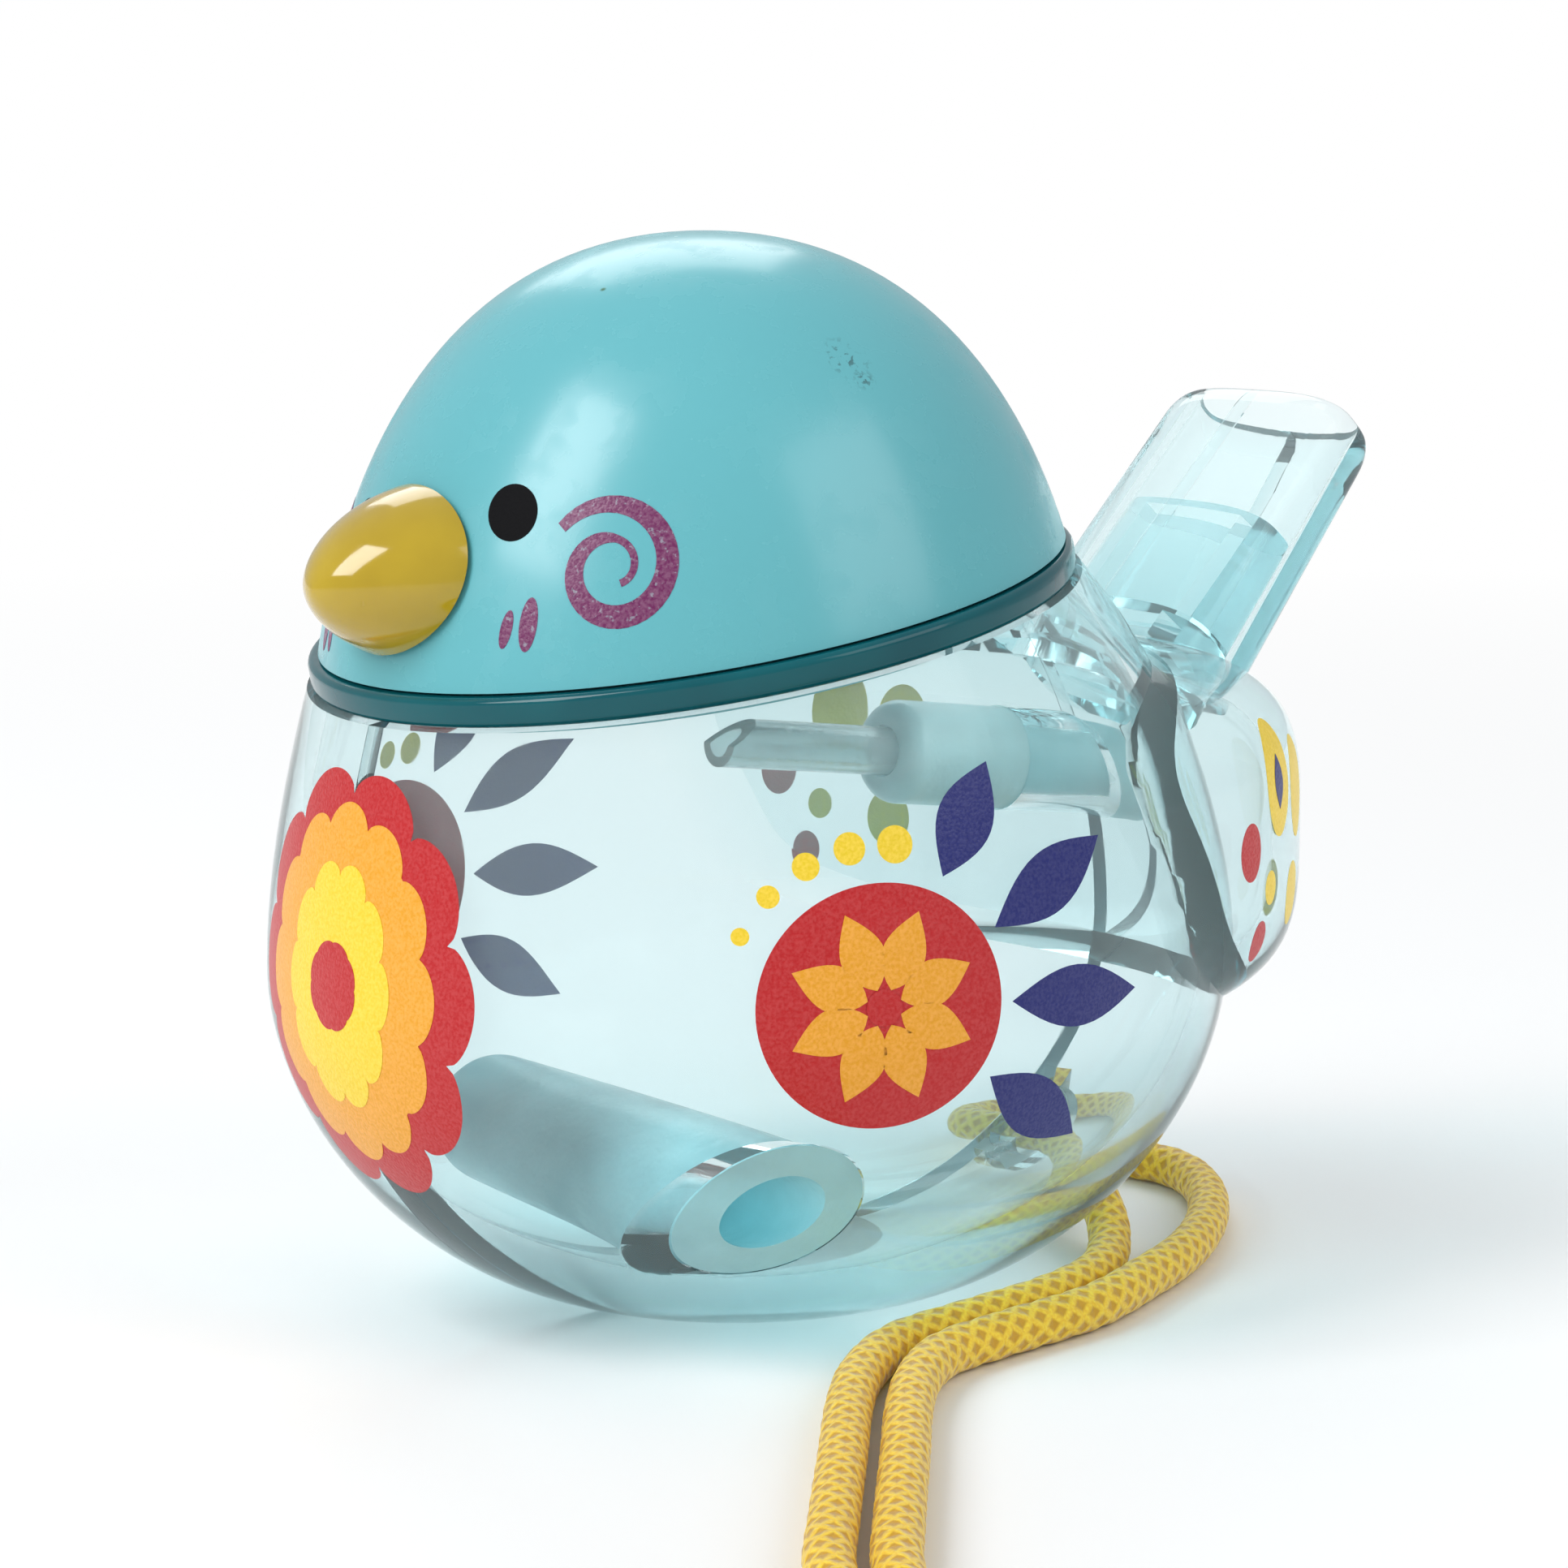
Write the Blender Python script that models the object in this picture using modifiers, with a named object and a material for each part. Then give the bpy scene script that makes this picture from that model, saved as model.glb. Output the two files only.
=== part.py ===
"""Bird-shaped water whistle.

A clear body of two welded shells holds the water bowl, the rump air chamber and the tail mouthpiece.
A hollow head cap closes the neck over a dark ring, and a doubled neck cord hangs from a lug under the tail.
The bird faces -X, its left side is -Y and it stands on z = 0.
"""
from math import cos, pi, radians, sin

import bmesh
import bpy
from mathutils import Matrix, Vector

MM = 0.001

# Walls and clearances
FIT = 0.3 * MM
SHELL_WALL = 1.6 * MM
SHELL_FLOOR = 2.0 * MM
SEAM_GAP = 0.3 * MM

# Water bowl, from its flat base to the tilted neck
BOWL_X = -6.9 * MM
BOWL_HALF_LENGTH = 28.7 * MM
BOWL_HALF_WIDTH = 26.5 * MM
BOWL_WIDEST_Z = 19.5 * MM
BASE_HALF_LENGTH = 8.3 * MM
BASE_HALF_WIDTH = 7.7 * MM
BELLY_POWER = 1.83
NECK_Z = 39.4 * MM
NECK_SETBACK = 4.1 * MM
NECK_RADIUS = 22.4 * MM
NECK_TILT = radians(11.0)

# Rump air chamber, its middle a little inside the back of the bowl
RUMP_SINK = 4.8 * MM
RUMP_X = BOWL_X + BOWL_HALF_LENGTH - RUMP_SINK
RUMP_Z = 23.5 * MM
RUMP_HALF_LENGTH = 14.0 * MM
RUMP_HALF_WIDTH = 17.0 * MM
RUMP_HALF_HEIGHT = 12.8 * MM

# Tail mouthpiece, measured back from the middle of its tip
MOUTH_REACH = 17.7 * MM
MOUTH_RISE = 25.9 * MM
MOUTH_TIP_X = RUMP_X + MOUTH_REACH
MOUTH_TIP_Z = RUMP_Z + MOUTH_RISE
MOUTH_ANGLE = radians(45.7)
MOUTH_LENGTH = 23.5 * MM
MOUTH_WIDTH = 15.8 * MM
MOUTH_THICKNESS = 6.4 * MM
MOUTH_WALL = 1.5 * MM
MOUTH_POWER = 3.2
MOUTH_TIP_ROUND = 0.8 * MM
MOUTH_CORNER_ROUND = 2.2 * MM

# Blocks pressed into the mouthpiece channel
WINDWAY_START = 8.9 * MM
WINDWAY_LENGTH = 8.0 * MM
WINDWAY_SLOT_WIDTH = 8.0 * MM
WINDWAY_SLOT_HEIGHT = 1.1 * MM
FIPPLE_LENGTH = 4.2 * MM
FIPPLE_WINDOW = 2.4 * MM

# Whistle barrel and the thin air tube in its front end, on one sloping axis
BARREL_FORWARD = 14.1 * MM
BARREL_ABOVE_RUMP = 7.2 * MM
BARREL_FRONT_X = RUMP_X - BARREL_FORWARD
BARREL_FRONT_Z = RUMP_Z + BARREL_ABOVE_RUMP
BARREL_PITCH = radians(7.0)
BARREL_LENGTH = 22.5 * MM
BARREL_DIAMETER = 6.2 * MM
BARREL_SHOULDER = 1.2 * MM
AIR_TUBE_DIAMETER = 2.9 * MM
AIR_TUBE_BORE = 1.7 * MM
AIR_TUBE_REACH = 12.2 * MM
AIR_TUBE_SEAT = 5.0 * MM
AIR_TUBE_TIP_SLANT = radians(55.0)

# Stopped side pipe through the left belly
PIPE_X = -18.4 * MM
PIPE_Z = 9.2 * MM
PIPE_DIAMETER = 8.2 * MM
PIPE_BORE = 4.6 * MM
PIPE_END_Y = 10.3 * MM
PIPE_END_ROUND = 1.6 * MM

# Neck ring and head cap
RING_HEIGHT = 1.8 * MM
RING_PROUD = 0.25 * MM
RING_ROUND = 0.4 * MM
HEAD_FORWARD = 3.3 * MM
HEAD_X = BOWL_X - HEAD_FORWARD
HEAD_RISE = 22.2 * MM
HEAD_TOP_Z = NECK_Z + HEAD_RISE
HEAD_WALL = 1.5 * MM
HEAD_CROWN_REACH = 14.4 * MM
HEAD_FLARE = 0.2 * MM
HEAD_RIM_RADIUS = NECK_RADIUS + HEAD_FLARE
HEAD_RIM_DROP = 5.4 * MM
HEAD_RIM_Z = NECK_Z - HEAD_RIM_DROP
HEAD_CHEEK_TUCK = 1.3 * MM
HEAD_CHEEK_RADIUS = HEAD_RIM_RADIUS - HEAD_CHEEK_TUCK
HEAD_CHEEK_RISE = 9.6 * MM
HEAD_CHEEK_Z = NECK_Z + HEAD_CHEEK_RISE
SKIRT_DEPTH = 4.0 * MM
SKIRT_WALL = 1.3 * MM
SKIRT_OVERLAP = 1.2 * MM

# Beak
BEAK_RISE = 3.8 * MM
BEAK_Z = NECK_Z + BEAK_RISE
BEAK_REACH = 3.7 * MM
BEAK_TIP_X = HEAD_X - HEAD_RIM_RADIUS - BEAK_REACH
BEAK_LENGTH = 8.2 * MM
BEAK_HALF_WIDTH = 5.0 * MM
BEAK_HALF_HEIGHT = 4.6 * MM
BEAK_POWER = 1.7
BEAK_DROOP = radians(4.0)
BEAK_STEM_DIAMETER = 4.0 * MM
BEAK_STEM_DEPTH = 4.0 * MM

# Cord lug under the tail
LUG_FORWARD = 1.5 * MM
LUG_X = RUMP_X - LUG_FORWARD
LUG_Z = 4.3 * MM
LUG_RADIUS = 3.7 * MM
LUG_HOLE = 4.4 * MM
LUG_THICKNESS = 3.2 * MM

# Neck cord: two strands laid on the surface, and the rest wound in a coil
CORD_DIAMETER = 2.6 * MM
COIL_X = -16.0 * MM
COIL_Y = -97.0 * MM
COIL_INNER_RADIUS = 5.5 * MM
COIL_OUTER_RADIUS = 22.0 * MM
TIE_THICKNESS = 0.6 * MM
TIE_WIDTH = 4.0 * MM
KNOT_RADIUS = 3.3 * MM
KNOT_FROM_MIDDLE = 8.1 * MM

# Fineness of the round forms
BOWL_SEGMENTS = 56
BELLY_STEPS = 10
SHOULDER_STEPS = 7
RUMP_SEGMENTS = 32
MOUTH_SEGMENTS = 28
HEAD_STEPS = 48
SMALL_STEPS = 28
SMOOTH_ANGLE = radians(32.0)
FAR = 0.2


def clear_scene():
    for obj in list(bpy.data.objects):
        bpy.data.objects.remove(obj, do_unlink=True)


def make_collection(name):
    collection = bpy.data.collections.new(name)
    bpy.context.scene.collection.children.link(collection)
    return collection


def make_material(name, colour, roughness, transmission=0.0):
    material = bpy.data.materials.new(name)
    material.use_nodes = True
    shader = material.node_tree.nodes["Principled BSDF"]
    shader.inputs["Base Color"].default_value = (*colour, 1.0)
    shader.inputs["Roughness"].default_value = roughness
    shader.inputs["Metallic"].default_value = 0.0
    shader.inputs["Transmission Weight"].default_value = transmission
    return material


def place(obj, collection):
    collection.objects.link(obj)
    if collection is CUTTERS:
        obj.hide_render = True
        obj.display_type = "WIRE"
    return obj


def object_from_bmesh(name, bm, collection):
    mesh = bpy.data.meshes.new(name)
    bm.to_mesh(mesh)
    bm.free()
    return place(bpy.data.objects.new(name, mesh), collection)


def loft(name, rings, collection):
    """Skin a row of like rings of points and close both ends."""
    bm = bmesh.new()
    rows = [[bm.verts.new(point) for point in ring] for ring in rings]
    count = len(rings[0])
    for low, high in zip(rows, rows[1:]):
        for i in range(count):
            j = (i + 1) % count
            bm.faces.new((low[i], low[j], high[j], high[i]))
    bm.faces.new(rows[0])
    bm.faces.new(rows[-1])
    bmesh.ops.recalc_face_normals(bm, faces=bm.faces)
    if bm.calc_volume(signed=True) < 0:
        bmesh.ops.reverse_faces(bm, faces=bm.faces)
    return object_from_bmesh(name, bm, collection)


def turn(name, profile, frame, steps, collection, closed=True):
    """Turn a profile of (radius, height) points about the z axis of a frame."""
    mesh = bpy.data.meshes.new(name)
    edges = [(i, i + 1) for i in range(len(profile) - 1)]
    if closed:
        edges.append((len(profile) - 1, 0))
    mesh.from_pydata([(radius, 0.0, height) for radius, height in profile], edges, [])
    obj = place(bpy.data.objects.new(name, mesh), collection)
    obj.matrix_world = frame
    screw = obj.modifiers.new("Turn", "SCREW")
    screw.axis = "Z"
    screw.steps = steps
    screw.render_steps = steps
    screw.use_merge_vertices = True
    screw.merge_threshold = 0.00001
    screw.use_smooth_shade = True
    return obj


def box(name, low, high, frame, collection):
    bm = bmesh.new()
    bmesh.ops.create_cube(bm, size=1.0)
    low, high = Vector(low), Vector(high)
    size = high - low
    bm.transform(frame @ Matrix.Translation((low + high) / 2) @ Matrix.Diagonal((*size, 1.0)))
    return object_from_bmesh(name, bm, collection)


def rod(name, radius, start, end, frame, collection):
    """A plain round rod along the z axis of a frame."""
    bm = bmesh.new()
    bmesh.ops.create_cone(bm, cap_ends=True, segments=SMALL_STEPS, radius1=radius, radius2=radius,
                          depth=end - start)
    bm.transform(frame @ Matrix.Translation((0.0, 0.0, (start + end) / 2)))
    return object_from_bmesh(name, bm, collection)


def combine(target, tool, operation):
    modifier = target.modifiers.new(tool.name, "BOOLEAN")
    modifier.operation = operation
    modifier.solver = "EXACT"
    modifier.object = tool


def baked_mesh(obj):
    bpy.context.view_layer.update()
    evaluated = obj.evaluated_get(bpy.context.evaluated_depsgraph_get())
    mesh = bpy.data.meshes.new_from_object(evaluated)
    mesh.transform(obj.matrix_world)
    return mesh


def finish(obj, material):
    """Make the modifiers real, drop slivers and shade the round faces smooth."""
    mesh = baked_mesh(obj)
    obj.modifiers.clear()
    obj.data = mesh
    obj.matrix_world = Matrix.Identity(4)
    bm = bmesh.new()
    bm.from_mesh(mesh)
    bmesh.ops.remove_doubles(bm, verts=bm.verts, dist=0.000002)
    bmesh.ops.dissolve_degenerate(bm, edges=bm.edges, dist=0.000001)
    bm.to_mesh(mesh)
    bm.free()
    mesh.materials.clear()
    mesh.materials.append(material)
    mesh.shade_smooth()
    mesh.set_sharp_from_angle(angle=SMOOTH_ANGLE)
    return obj


def copy_of(obj, name, collection):
    return place(bpy.data.objects.new(name, baked_mesh(obj)), collection)


def neck_frame():
    """Origin in the middle of the neck's rim, z square to its plane, x up the slope to the tail."""
    centre = Matrix.Translation((BOWL_X - NECK_SETBACK, 0.0, NECK_Z))
    return centre @ Matrix.Rotation(-NECK_TILT, 4, "Y")


def barrel_frame():
    """Origin in the middle of the barrel's front end, z along the barrel towards the tail."""
    front = Matrix.Translation((BARREL_FRONT_X, 0.0, BARREL_FRONT_Z))
    return front @ Matrix.Rotation(pi / 2 + BARREL_PITCH, 4, "Y")


def bowl_section(centre_x, height, half_length, half_width, tilt):
    points = []
    for i in range(BOWL_SEGMENTS):
        angle = 2 * pi * (i + 0.5) / BOWL_SEGMENTS
        reach = half_length * cos(angle)
        points.append((centre_x + reach * cos(tilt), half_width * sin(angle), height + reach * sin(tilt)))
    return points


def bowl_rings(inset, floor):
    """Sections of the bowl: flat base, widest ellipse, tilted round neck."""
    rings = []
    for i in range(BELLY_STEPS + 1):
        drop = cos(pi / 2 * i / BELLY_STEPS)
        swell = (1 - drop ** BELLY_POWER) ** (1 / BELLY_POWER)
        length = BASE_HALF_LENGTH + (BOWL_HALF_LENGTH - BASE_HALF_LENGTH) * swell - inset
        width = BASE_HALF_WIDTH + (BOWL_HALF_WIDTH - BASE_HALF_WIDTH) * swell - inset
        height = floor + (BOWL_WIDEST_Z - floor) * (1 - drop)
        rings.append(bowl_section(BOWL_X, height, length, width, 0.0))
    for i in range(1, SHOULDER_STEPS + 1):
        rise = i / SHOULDER_STEPS
        close = rise ** 2
        length = BOWL_HALF_LENGTH + (NECK_RADIUS - BOWL_HALF_LENGTH) * close - inset
        width = BOWL_HALF_WIDTH + (NECK_RADIUS - BOWL_HALF_WIDTH) * close - inset
        height = BOWL_WIDEST_Z + (NECK_Z - BOWL_WIDEST_Z) * rise
        rings.append(bowl_section(BOWL_X - NECK_SETBACK * close, height, length, width, NECK_TILT * rise))
    return rings


def bowl_outside(name):
    return loft(name, bowl_rings(0.0, 0.0), CUTTERS)


def bowl_inside(name):
    rings = bowl_rings(SHELL_WALL, SHELL_FLOOR)
    past_rim = neck_frame().col[2].to_3d() * SHELL_FLOOR
    rings.append([Vector(point) + past_rim for point in rings[-1]])
    return loft(name, rings, CUTTERS)


def rump(name, inset):
    bm = bmesh.new()
    bmesh.ops.create_uvsphere(bm, u_segments=RUMP_SEGMENTS, v_segments=RUMP_SEGMENTS // 2, radius=1.0)
    sizes = (RUMP_HALF_LENGTH - inset, RUMP_HALF_WIDTH - inset, RUMP_HALF_HEIGHT - inset)
    turned_half_step = Matrix.Rotation(pi / RUMP_SEGMENTS, 4, "Z")
    middle = Matrix.Translation((RUMP_X, 0.0, RUMP_Z))
    bm.transform(middle @ Matrix.Diagonal((*sizes, 1.0)) @ turned_half_step)
    return object_from_bmesh(name, bm, CUTTERS)


def mouth_section(back, inset_side, inset_face):
    """Flattened round section of the mouthpiece, a distance back from its tip."""
    along = Vector((cos(MOUTH_ANGLE), 0.0, sin(MOUTH_ANGLE)))
    face = Vector((-sin(MOUTH_ANGLE), 0.0, cos(MOUTH_ANGLE)))
    centre = Vector((MOUTH_TIP_X, 0.0, MOUTH_TIP_Z)) - along * back
    half_width = MOUTH_WIDTH / 2 - inset_side
    half_height = MOUTH_THICKNESS / 2 - inset_face
    points = []
    for i in range(MOUTH_SEGMENTS):
        angle = 2 * pi * (i + 0.5) / MOUTH_SEGMENTS
        side = abs(cos(angle)) ** (2 / MOUTH_POWER) * (1 if cos(angle) > 0 else -1)
        lift = abs(sin(angle)) ** (2 / MOUTH_POWER) * (1 if sin(angle) > 0 else -1)
        points.append(centre + Vector((0.0, side * half_width, 0.0)) + face * (lift * half_height))
    return points


def mouth_outside(name):
    rings = [mouth_section(MOUTH_LENGTH, 0.0, 0.0), mouth_section(MOUTH_CORNER_ROUND, 0.0, 0.0)]
    steps = 6
    for i in range(1, steps + 1):
        turn_in = 1 - cos(pi / 2 * i / steps)
        back = MOUTH_CORNER_ROUND * (1 - sin(pi / 2 * i / steps))
        rings.append(mouth_section(back, MOUTH_CORNER_ROUND * turn_in * 0.5, MOUTH_TIP_ROUND * turn_in))
    return loft(name, rings, CUTTERS)


def mouth_channel(name):
    rings = [mouth_section(back, MOUTH_WALL, MOUTH_WALL) for back in (MOUTH_LENGTH, -MOUTH_WALL)]
    return loft(name, rings, CUTTERS)


def lug(name):
    """Round eye under the tail, with a web up into the belly."""
    across = Matrix.Translation((LUG_X, 0.0, LUG_Z)) @ Matrix.Rotation(pi / 2, 4, "X")
    half = LUG_THICKNESS / 2
    eye = rod(name, LUG_RADIUS, -half, half, across, CUTTERS)
    web_top = LUG_Z + LUG_RADIUS + SHELL_WALL
    reach = LUG_RADIUS * 0.6
    web = box(name + "_web", (LUG_X - reach, -half, LUG_Z), (LUG_X + reach, half, web_top), Matrix.Identity(4),
              CUTTERS)
    combine(eye, web, "UNION")
    hole = rod(name + "_hole", LUG_HOLE / 2, -LUG_THICKNESS, LUG_THICKNESS, across, CUTTERS)
    combine(eye, hole, "DIFFERENCE")
    return eye


def body_blank():
    """The whole clear body in one piece, before it is parted at the mid-plane."""
    body = bowl_outside("body_blank")
    combine(body, rump("rump_outside", 0.0), "UNION")
    combine(body, mouth_outside("mouth_outside"), "UNION")
    combine(body, lug("lug_blank"), "UNION")
    chamber = rump("rump_inside", SHELL_WALL)
    combine(chamber, mouth_channel("mouth_channel"), "UNION")
    combine(chamber, bowl_outside("bowl_for_chamber"), "DIFFERENCE")
    combine(body, chamber, "DIFFERENCE")
    combine(body, bowl_inside("bowl_inside"), "DIFFERENCE")
    barrel_hole = rod("barrel_hole", BARREL_DIAMETER / 2 + FIT, BARREL_LENGTH * 0.4, BARREL_LENGTH + FIT,
                      barrel_frame(), CUTTERS)
    combine(body, barrel_hole, "DIFFERENCE")
    pipe_seat = rod("pipe_seat", PIPE_DIAMETER / 2 + FIT, -PIPE_END_Y - FIT, FAR, pipe_frame(), CUTTERS)
    combine(body, pipe_seat, "DIFFERENCE")
    return body


def pipe_frame():
    """Origin on the mid-plane, z towards the bird's left side."""
    return Matrix.Translation((PIPE_X, 0.0, PIPE_Z)) @ Matrix.Rotation(pi / 2, 4, "X")


def make_body(clear):
    blank = body_blank()
    for name, side in (("body_left", -1), ("body_right", 1)):
        half = copy_of(blank, name, PARTS)
        near, far = sorted((side * SEAM_GAP / 2, side * FAR))
        keep = box(name + "_side", (-FAR, near, -FAR), (FAR, far, FAR), Matrix.Identity(4), CUTTERS)
        combine(half, keep, "INTERSECT")
        finish(half, clear)


def make_pipe(material):
    """Stopped pipe: open and flush in the left belly, rounded and closed inside."""
    radius, bore = PIPE_DIAMETER / 2, PIPE_BORE / 2
    closed_wall = radius - bore
    profile = [(bore, FAR), (radius, FAR)]
    steps = 4
    for i in range(steps + 1):
        angle = pi / 2 * i / steps
        profile.append((radius - PIPE_END_ROUND * (1 - cos(angle)),
                        -PIPE_END_Y + PIPE_END_ROUND * (1 - sin(angle))))
    profile += [(0.0, -PIPE_END_Y), (0.0, -PIPE_END_Y + closed_wall), (bore, -PIPE_END_Y + closed_wall)]
    pipe = turn("side_pipe", profile, pipe_frame(), SMALL_STEPS, PARTS)
    combine(pipe, bowl_outside("belly_for_pipe"), "INTERSECT")
    return finish(pipe, material)


def make_barrel(material):
    radius = BARREL_DIAMETER / 2
    bore = AIR_TUBE_DIAMETER / 2 + FIT
    steps = 4
    profile = []
    for i in range(steps + 1):
        angle = pi / 2 * i / steps
        profile.append((radius - BARREL_SHOULDER * (1 - sin(angle)), BARREL_SHOULDER * (1 - cos(angle))))
    profile += [(radius, BARREL_LENGTH), (bore, BARREL_LENGTH), (bore, 0.0)]
    profile.reverse()
    return finish(turn("whistle_barrel", profile, barrel_frame(), SMALL_STEPS, PARTS), material)


def make_air_tube(material):
    """Thin tube in the barrel's front end, its free tip cut on the slant."""
    radius, bore = AIR_TUBE_DIAMETER / 2, AIR_TUBE_BORE / 2
    profile = [(bore, AIR_TUBE_SEAT), (radius, AIR_TUBE_SEAT), (radius, -AIR_TUBE_REACH),
               (bore, -AIR_TUBE_REACH)]
    tube = turn("air_tube", profile, barrel_frame(), SMALL_STEPS, PARTS)
    tip = barrel_frame() @ Matrix.Translation((0.0, 0.0, -AIR_TUBE_REACH + radius))
    slant = tip @ Matrix.Rotation(AIR_TUBE_TIP_SLANT, 4, "Y")
    tip_cut = box("air_tube_tip", (-FAR, -FAR, -FAR), (FAR, FAR, -radius / 2), slant, CUTTERS)
    combine(tube, tip_cut, "DIFFERENCE")
    return finish(tube, material)


def mouth_frame(back):
    """Origin a distance back from the tip, z back along the mouthpiece, y up out of its top face."""
    angle = MOUTH_ANGLE
    axes = Matrix(((0.0, -sin(angle), -cos(angle)), (-1.0, 0.0, 0.0), (0.0, cos(angle), -sin(angle))))
    tip = Vector((MOUTH_TIP_X, 0.0, MOUTH_TIP_Z))
    return Matrix.Translation(tip + axes.col[2] * back) @ axes.to_4x4()


def make_mouth_blocks(clear):
    inset = MOUTH_WALL + FIT
    start, end = WINDWAY_START, WINDWAY_START + WINDWAY_LENGTH
    windway = loft("windway_block", [mouth_section(back, inset, inset) for back in (end, start)], PARTS)
    half_slot = (WINDWAY_SLOT_WIDTH / 2, WINDWAY_SLOT_HEIGHT / 2)
    slot = box("windway_slot", (-half_slot[0], -half_slot[1], -FIT),
               (half_slot[0], half_slot[1], WINDWAY_LENGTH + FIT), mouth_frame(start), CUTTERS)
    combine(windway, slot, "DIFFERENCE")
    finish(windway, clear)
    start = end + FIT
    end = start + FIPPLE_LENGTH
    fipple = loft("fipple_block", [mouth_section(back, inset, inset) for back in (end, start)], PARTS)
    window = box("fipple_window", (-half_slot[0], -half_slot[1], -FIT),
                 (half_slot[0], MOUTH_THICKNESS, FIPPLE_WINDOW), mouth_frame(start), CUTTERS)
    combine(fipple, window, "DIFFERENCE")
    outlet = box("fipple_outlet", (-half_slot[0], -half_slot[1], -FIT),
                 (half_slot[0], half_slot[1], FIPPLE_LENGTH + FIT), mouth_frame(start), CUTTERS)
    combine(fipple, outlet, "DIFFERENCE")
    finish(fipple, clear)


def make_ring(material):
    inner = NECK_RADIUS - SHELL_WALL
    outer = NECK_RADIUS + RING_PROUD
    low, high = FIT, FIT + RING_HEIGHT
    profile = [(inner, high)]
    steps = 3
    for i in range(steps + 1):
        angle = pi / 2 * i / steps
        profile.append((outer - RING_ROUND * (1 - sin(angle)), high - RING_ROUND * (1 - cos(angle))))
    for i in range(steps + 1):
        angle = pi / 2 * i / steps
        profile.append((outer - RING_ROUND * (1 - cos(angle)), low + RING_ROUND * (1 - sin(angle))))
    profile.append((inner, low))
    return finish(turn("neck_ring", profile, neck_frame(), HEAD_STEPS, PARTS), material)


def dome_point(share, inset):
    """Point of the head's profile, from the crown (0) to below the rim (1), moved in from the outside."""
    corners = [Vector((0.0, HEAD_TOP_Z)), Vector((HEAD_CROWN_REACH, HEAD_TOP_Z)),
               Vector((HEAD_CHEEK_RADIUS, HEAD_CHEEK_Z)), Vector((HEAD_RIM_RADIUS, HEAD_RIM_Z))]
    rest = 1 - share
    point = (rest ** 3 * corners[0] + 3 * rest ** 2 * share * corners[1]
             + 3 * rest * share ** 2 * corners[2] + share ** 3 * corners[3])
    slope = (rest ** 2 * (corners[1] - corners[0]) + 2 * rest * share * (corners[2] - corners[1])
             + share ** 2 * (corners[3] - corners[2])).normalized()
    return max(point.x + slope.y * inset, 0.0), point.y - slope.x * inset


def dome_profile(outset, wall):
    steps = 14
    outer = [dome_point(i / steps, -outset) for i in range(steps + 1)]
    if wall is None:
        return outer + [(0.0, outer[-1][1])]
    return outer + [dome_point(1 - i / steps, wall) for i in range(steps + 1)]


def head_frame():
    return Matrix.Translation((HEAD_X, 0.0, 0.0))


def beak_frame():
    """Origin at the beak's tip, z back into the head."""
    tip = Matrix.Translation((BEAK_TIP_X, 0.0, BEAK_Z - BEAK_LENGTH * sin(BEAK_DROOP)))
    return tip @ Matrix.Rotation(pi / 2 - BEAK_DROOP, 4, "Y")


def make_head(material):
    head = turn("head_cap", dome_profile(0.0, HEAD_WALL), head_frame(), HEAD_STEPS, PARTS, closed=False)
    rim = RING_HEIGHT + 2 * FIT
    below = box("below_head", (-FAR, -FAR, -FAR), (FAR, FAR, rim), neck_frame(), CUTTERS)
    combine(head, below, "DIFFERENCE")
    outer = NECK_RADIUS - SHELL_WALL - FIT
    inner = outer - SKIRT_WALL
    top = rim + SKIRT_OVERLAP
    section = [(inner, top), (outer, top), (outer, -SKIRT_DEPTH), (inner, -SKIRT_DEPTH)]
    skirt = turn("head_skirt", section, neck_frame(), HEAD_STEPS, CUTTERS)
    combine(head, skirt, "UNION")
    hole = rod("beak_hole", BEAK_STEM_DIAMETER / 2 + FIT, 0.0, BEAK_LENGTH + BEAK_STEM_DEPTH + HEAD_WALL,
               beak_frame(), CUTTERS)
    combine(head, hole, "DIFFERENCE")
    return finish(head, material)


def make_beak(material):
    """Egg-shaped beak seated on the head's curve, its stem through the head's wall."""
    steps = 10
    profile = []
    for i in range(steps + 1):
        back = BEAK_LENGTH * (1 - cos(pi / 2 * i / steps))
        share = 1 - back / BEAK_LENGTH
        profile.append((BEAK_HALF_WIDTH * (1 - share ** BEAK_POWER) ** (1 / BEAK_POWER), back))
    profile += [(BEAK_HALF_WIDTH, BEAK_LENGTH + HEAD_WALL), (0.0, BEAK_LENGTH + HEAD_WALL)]
    profile.reverse()
    flatten = Matrix.Diagonal((BEAK_HALF_HEIGHT / BEAK_HALF_WIDTH, 1.0, 1.0, 1.0))
    beak = turn("beak", profile, beak_frame() @ flatten, SMALL_STEPS, PARTS, closed=False)
    seat = turn("beak_seat", dome_profile(FIT, None), head_frame(), HEAD_STEPS, CUTTERS, closed=False)
    combine(beak, seat, "DIFFERENCE")
    stem = rod("beak_stem", BEAK_STEM_DIAMETER / 2, BEAK_LENGTH / 2, BEAK_LENGTH + BEAK_STEM_DEPTH,
               beak_frame(), CUTTERS)
    combine(beak, stem, "UNION")
    return finish(beak, material)


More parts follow.
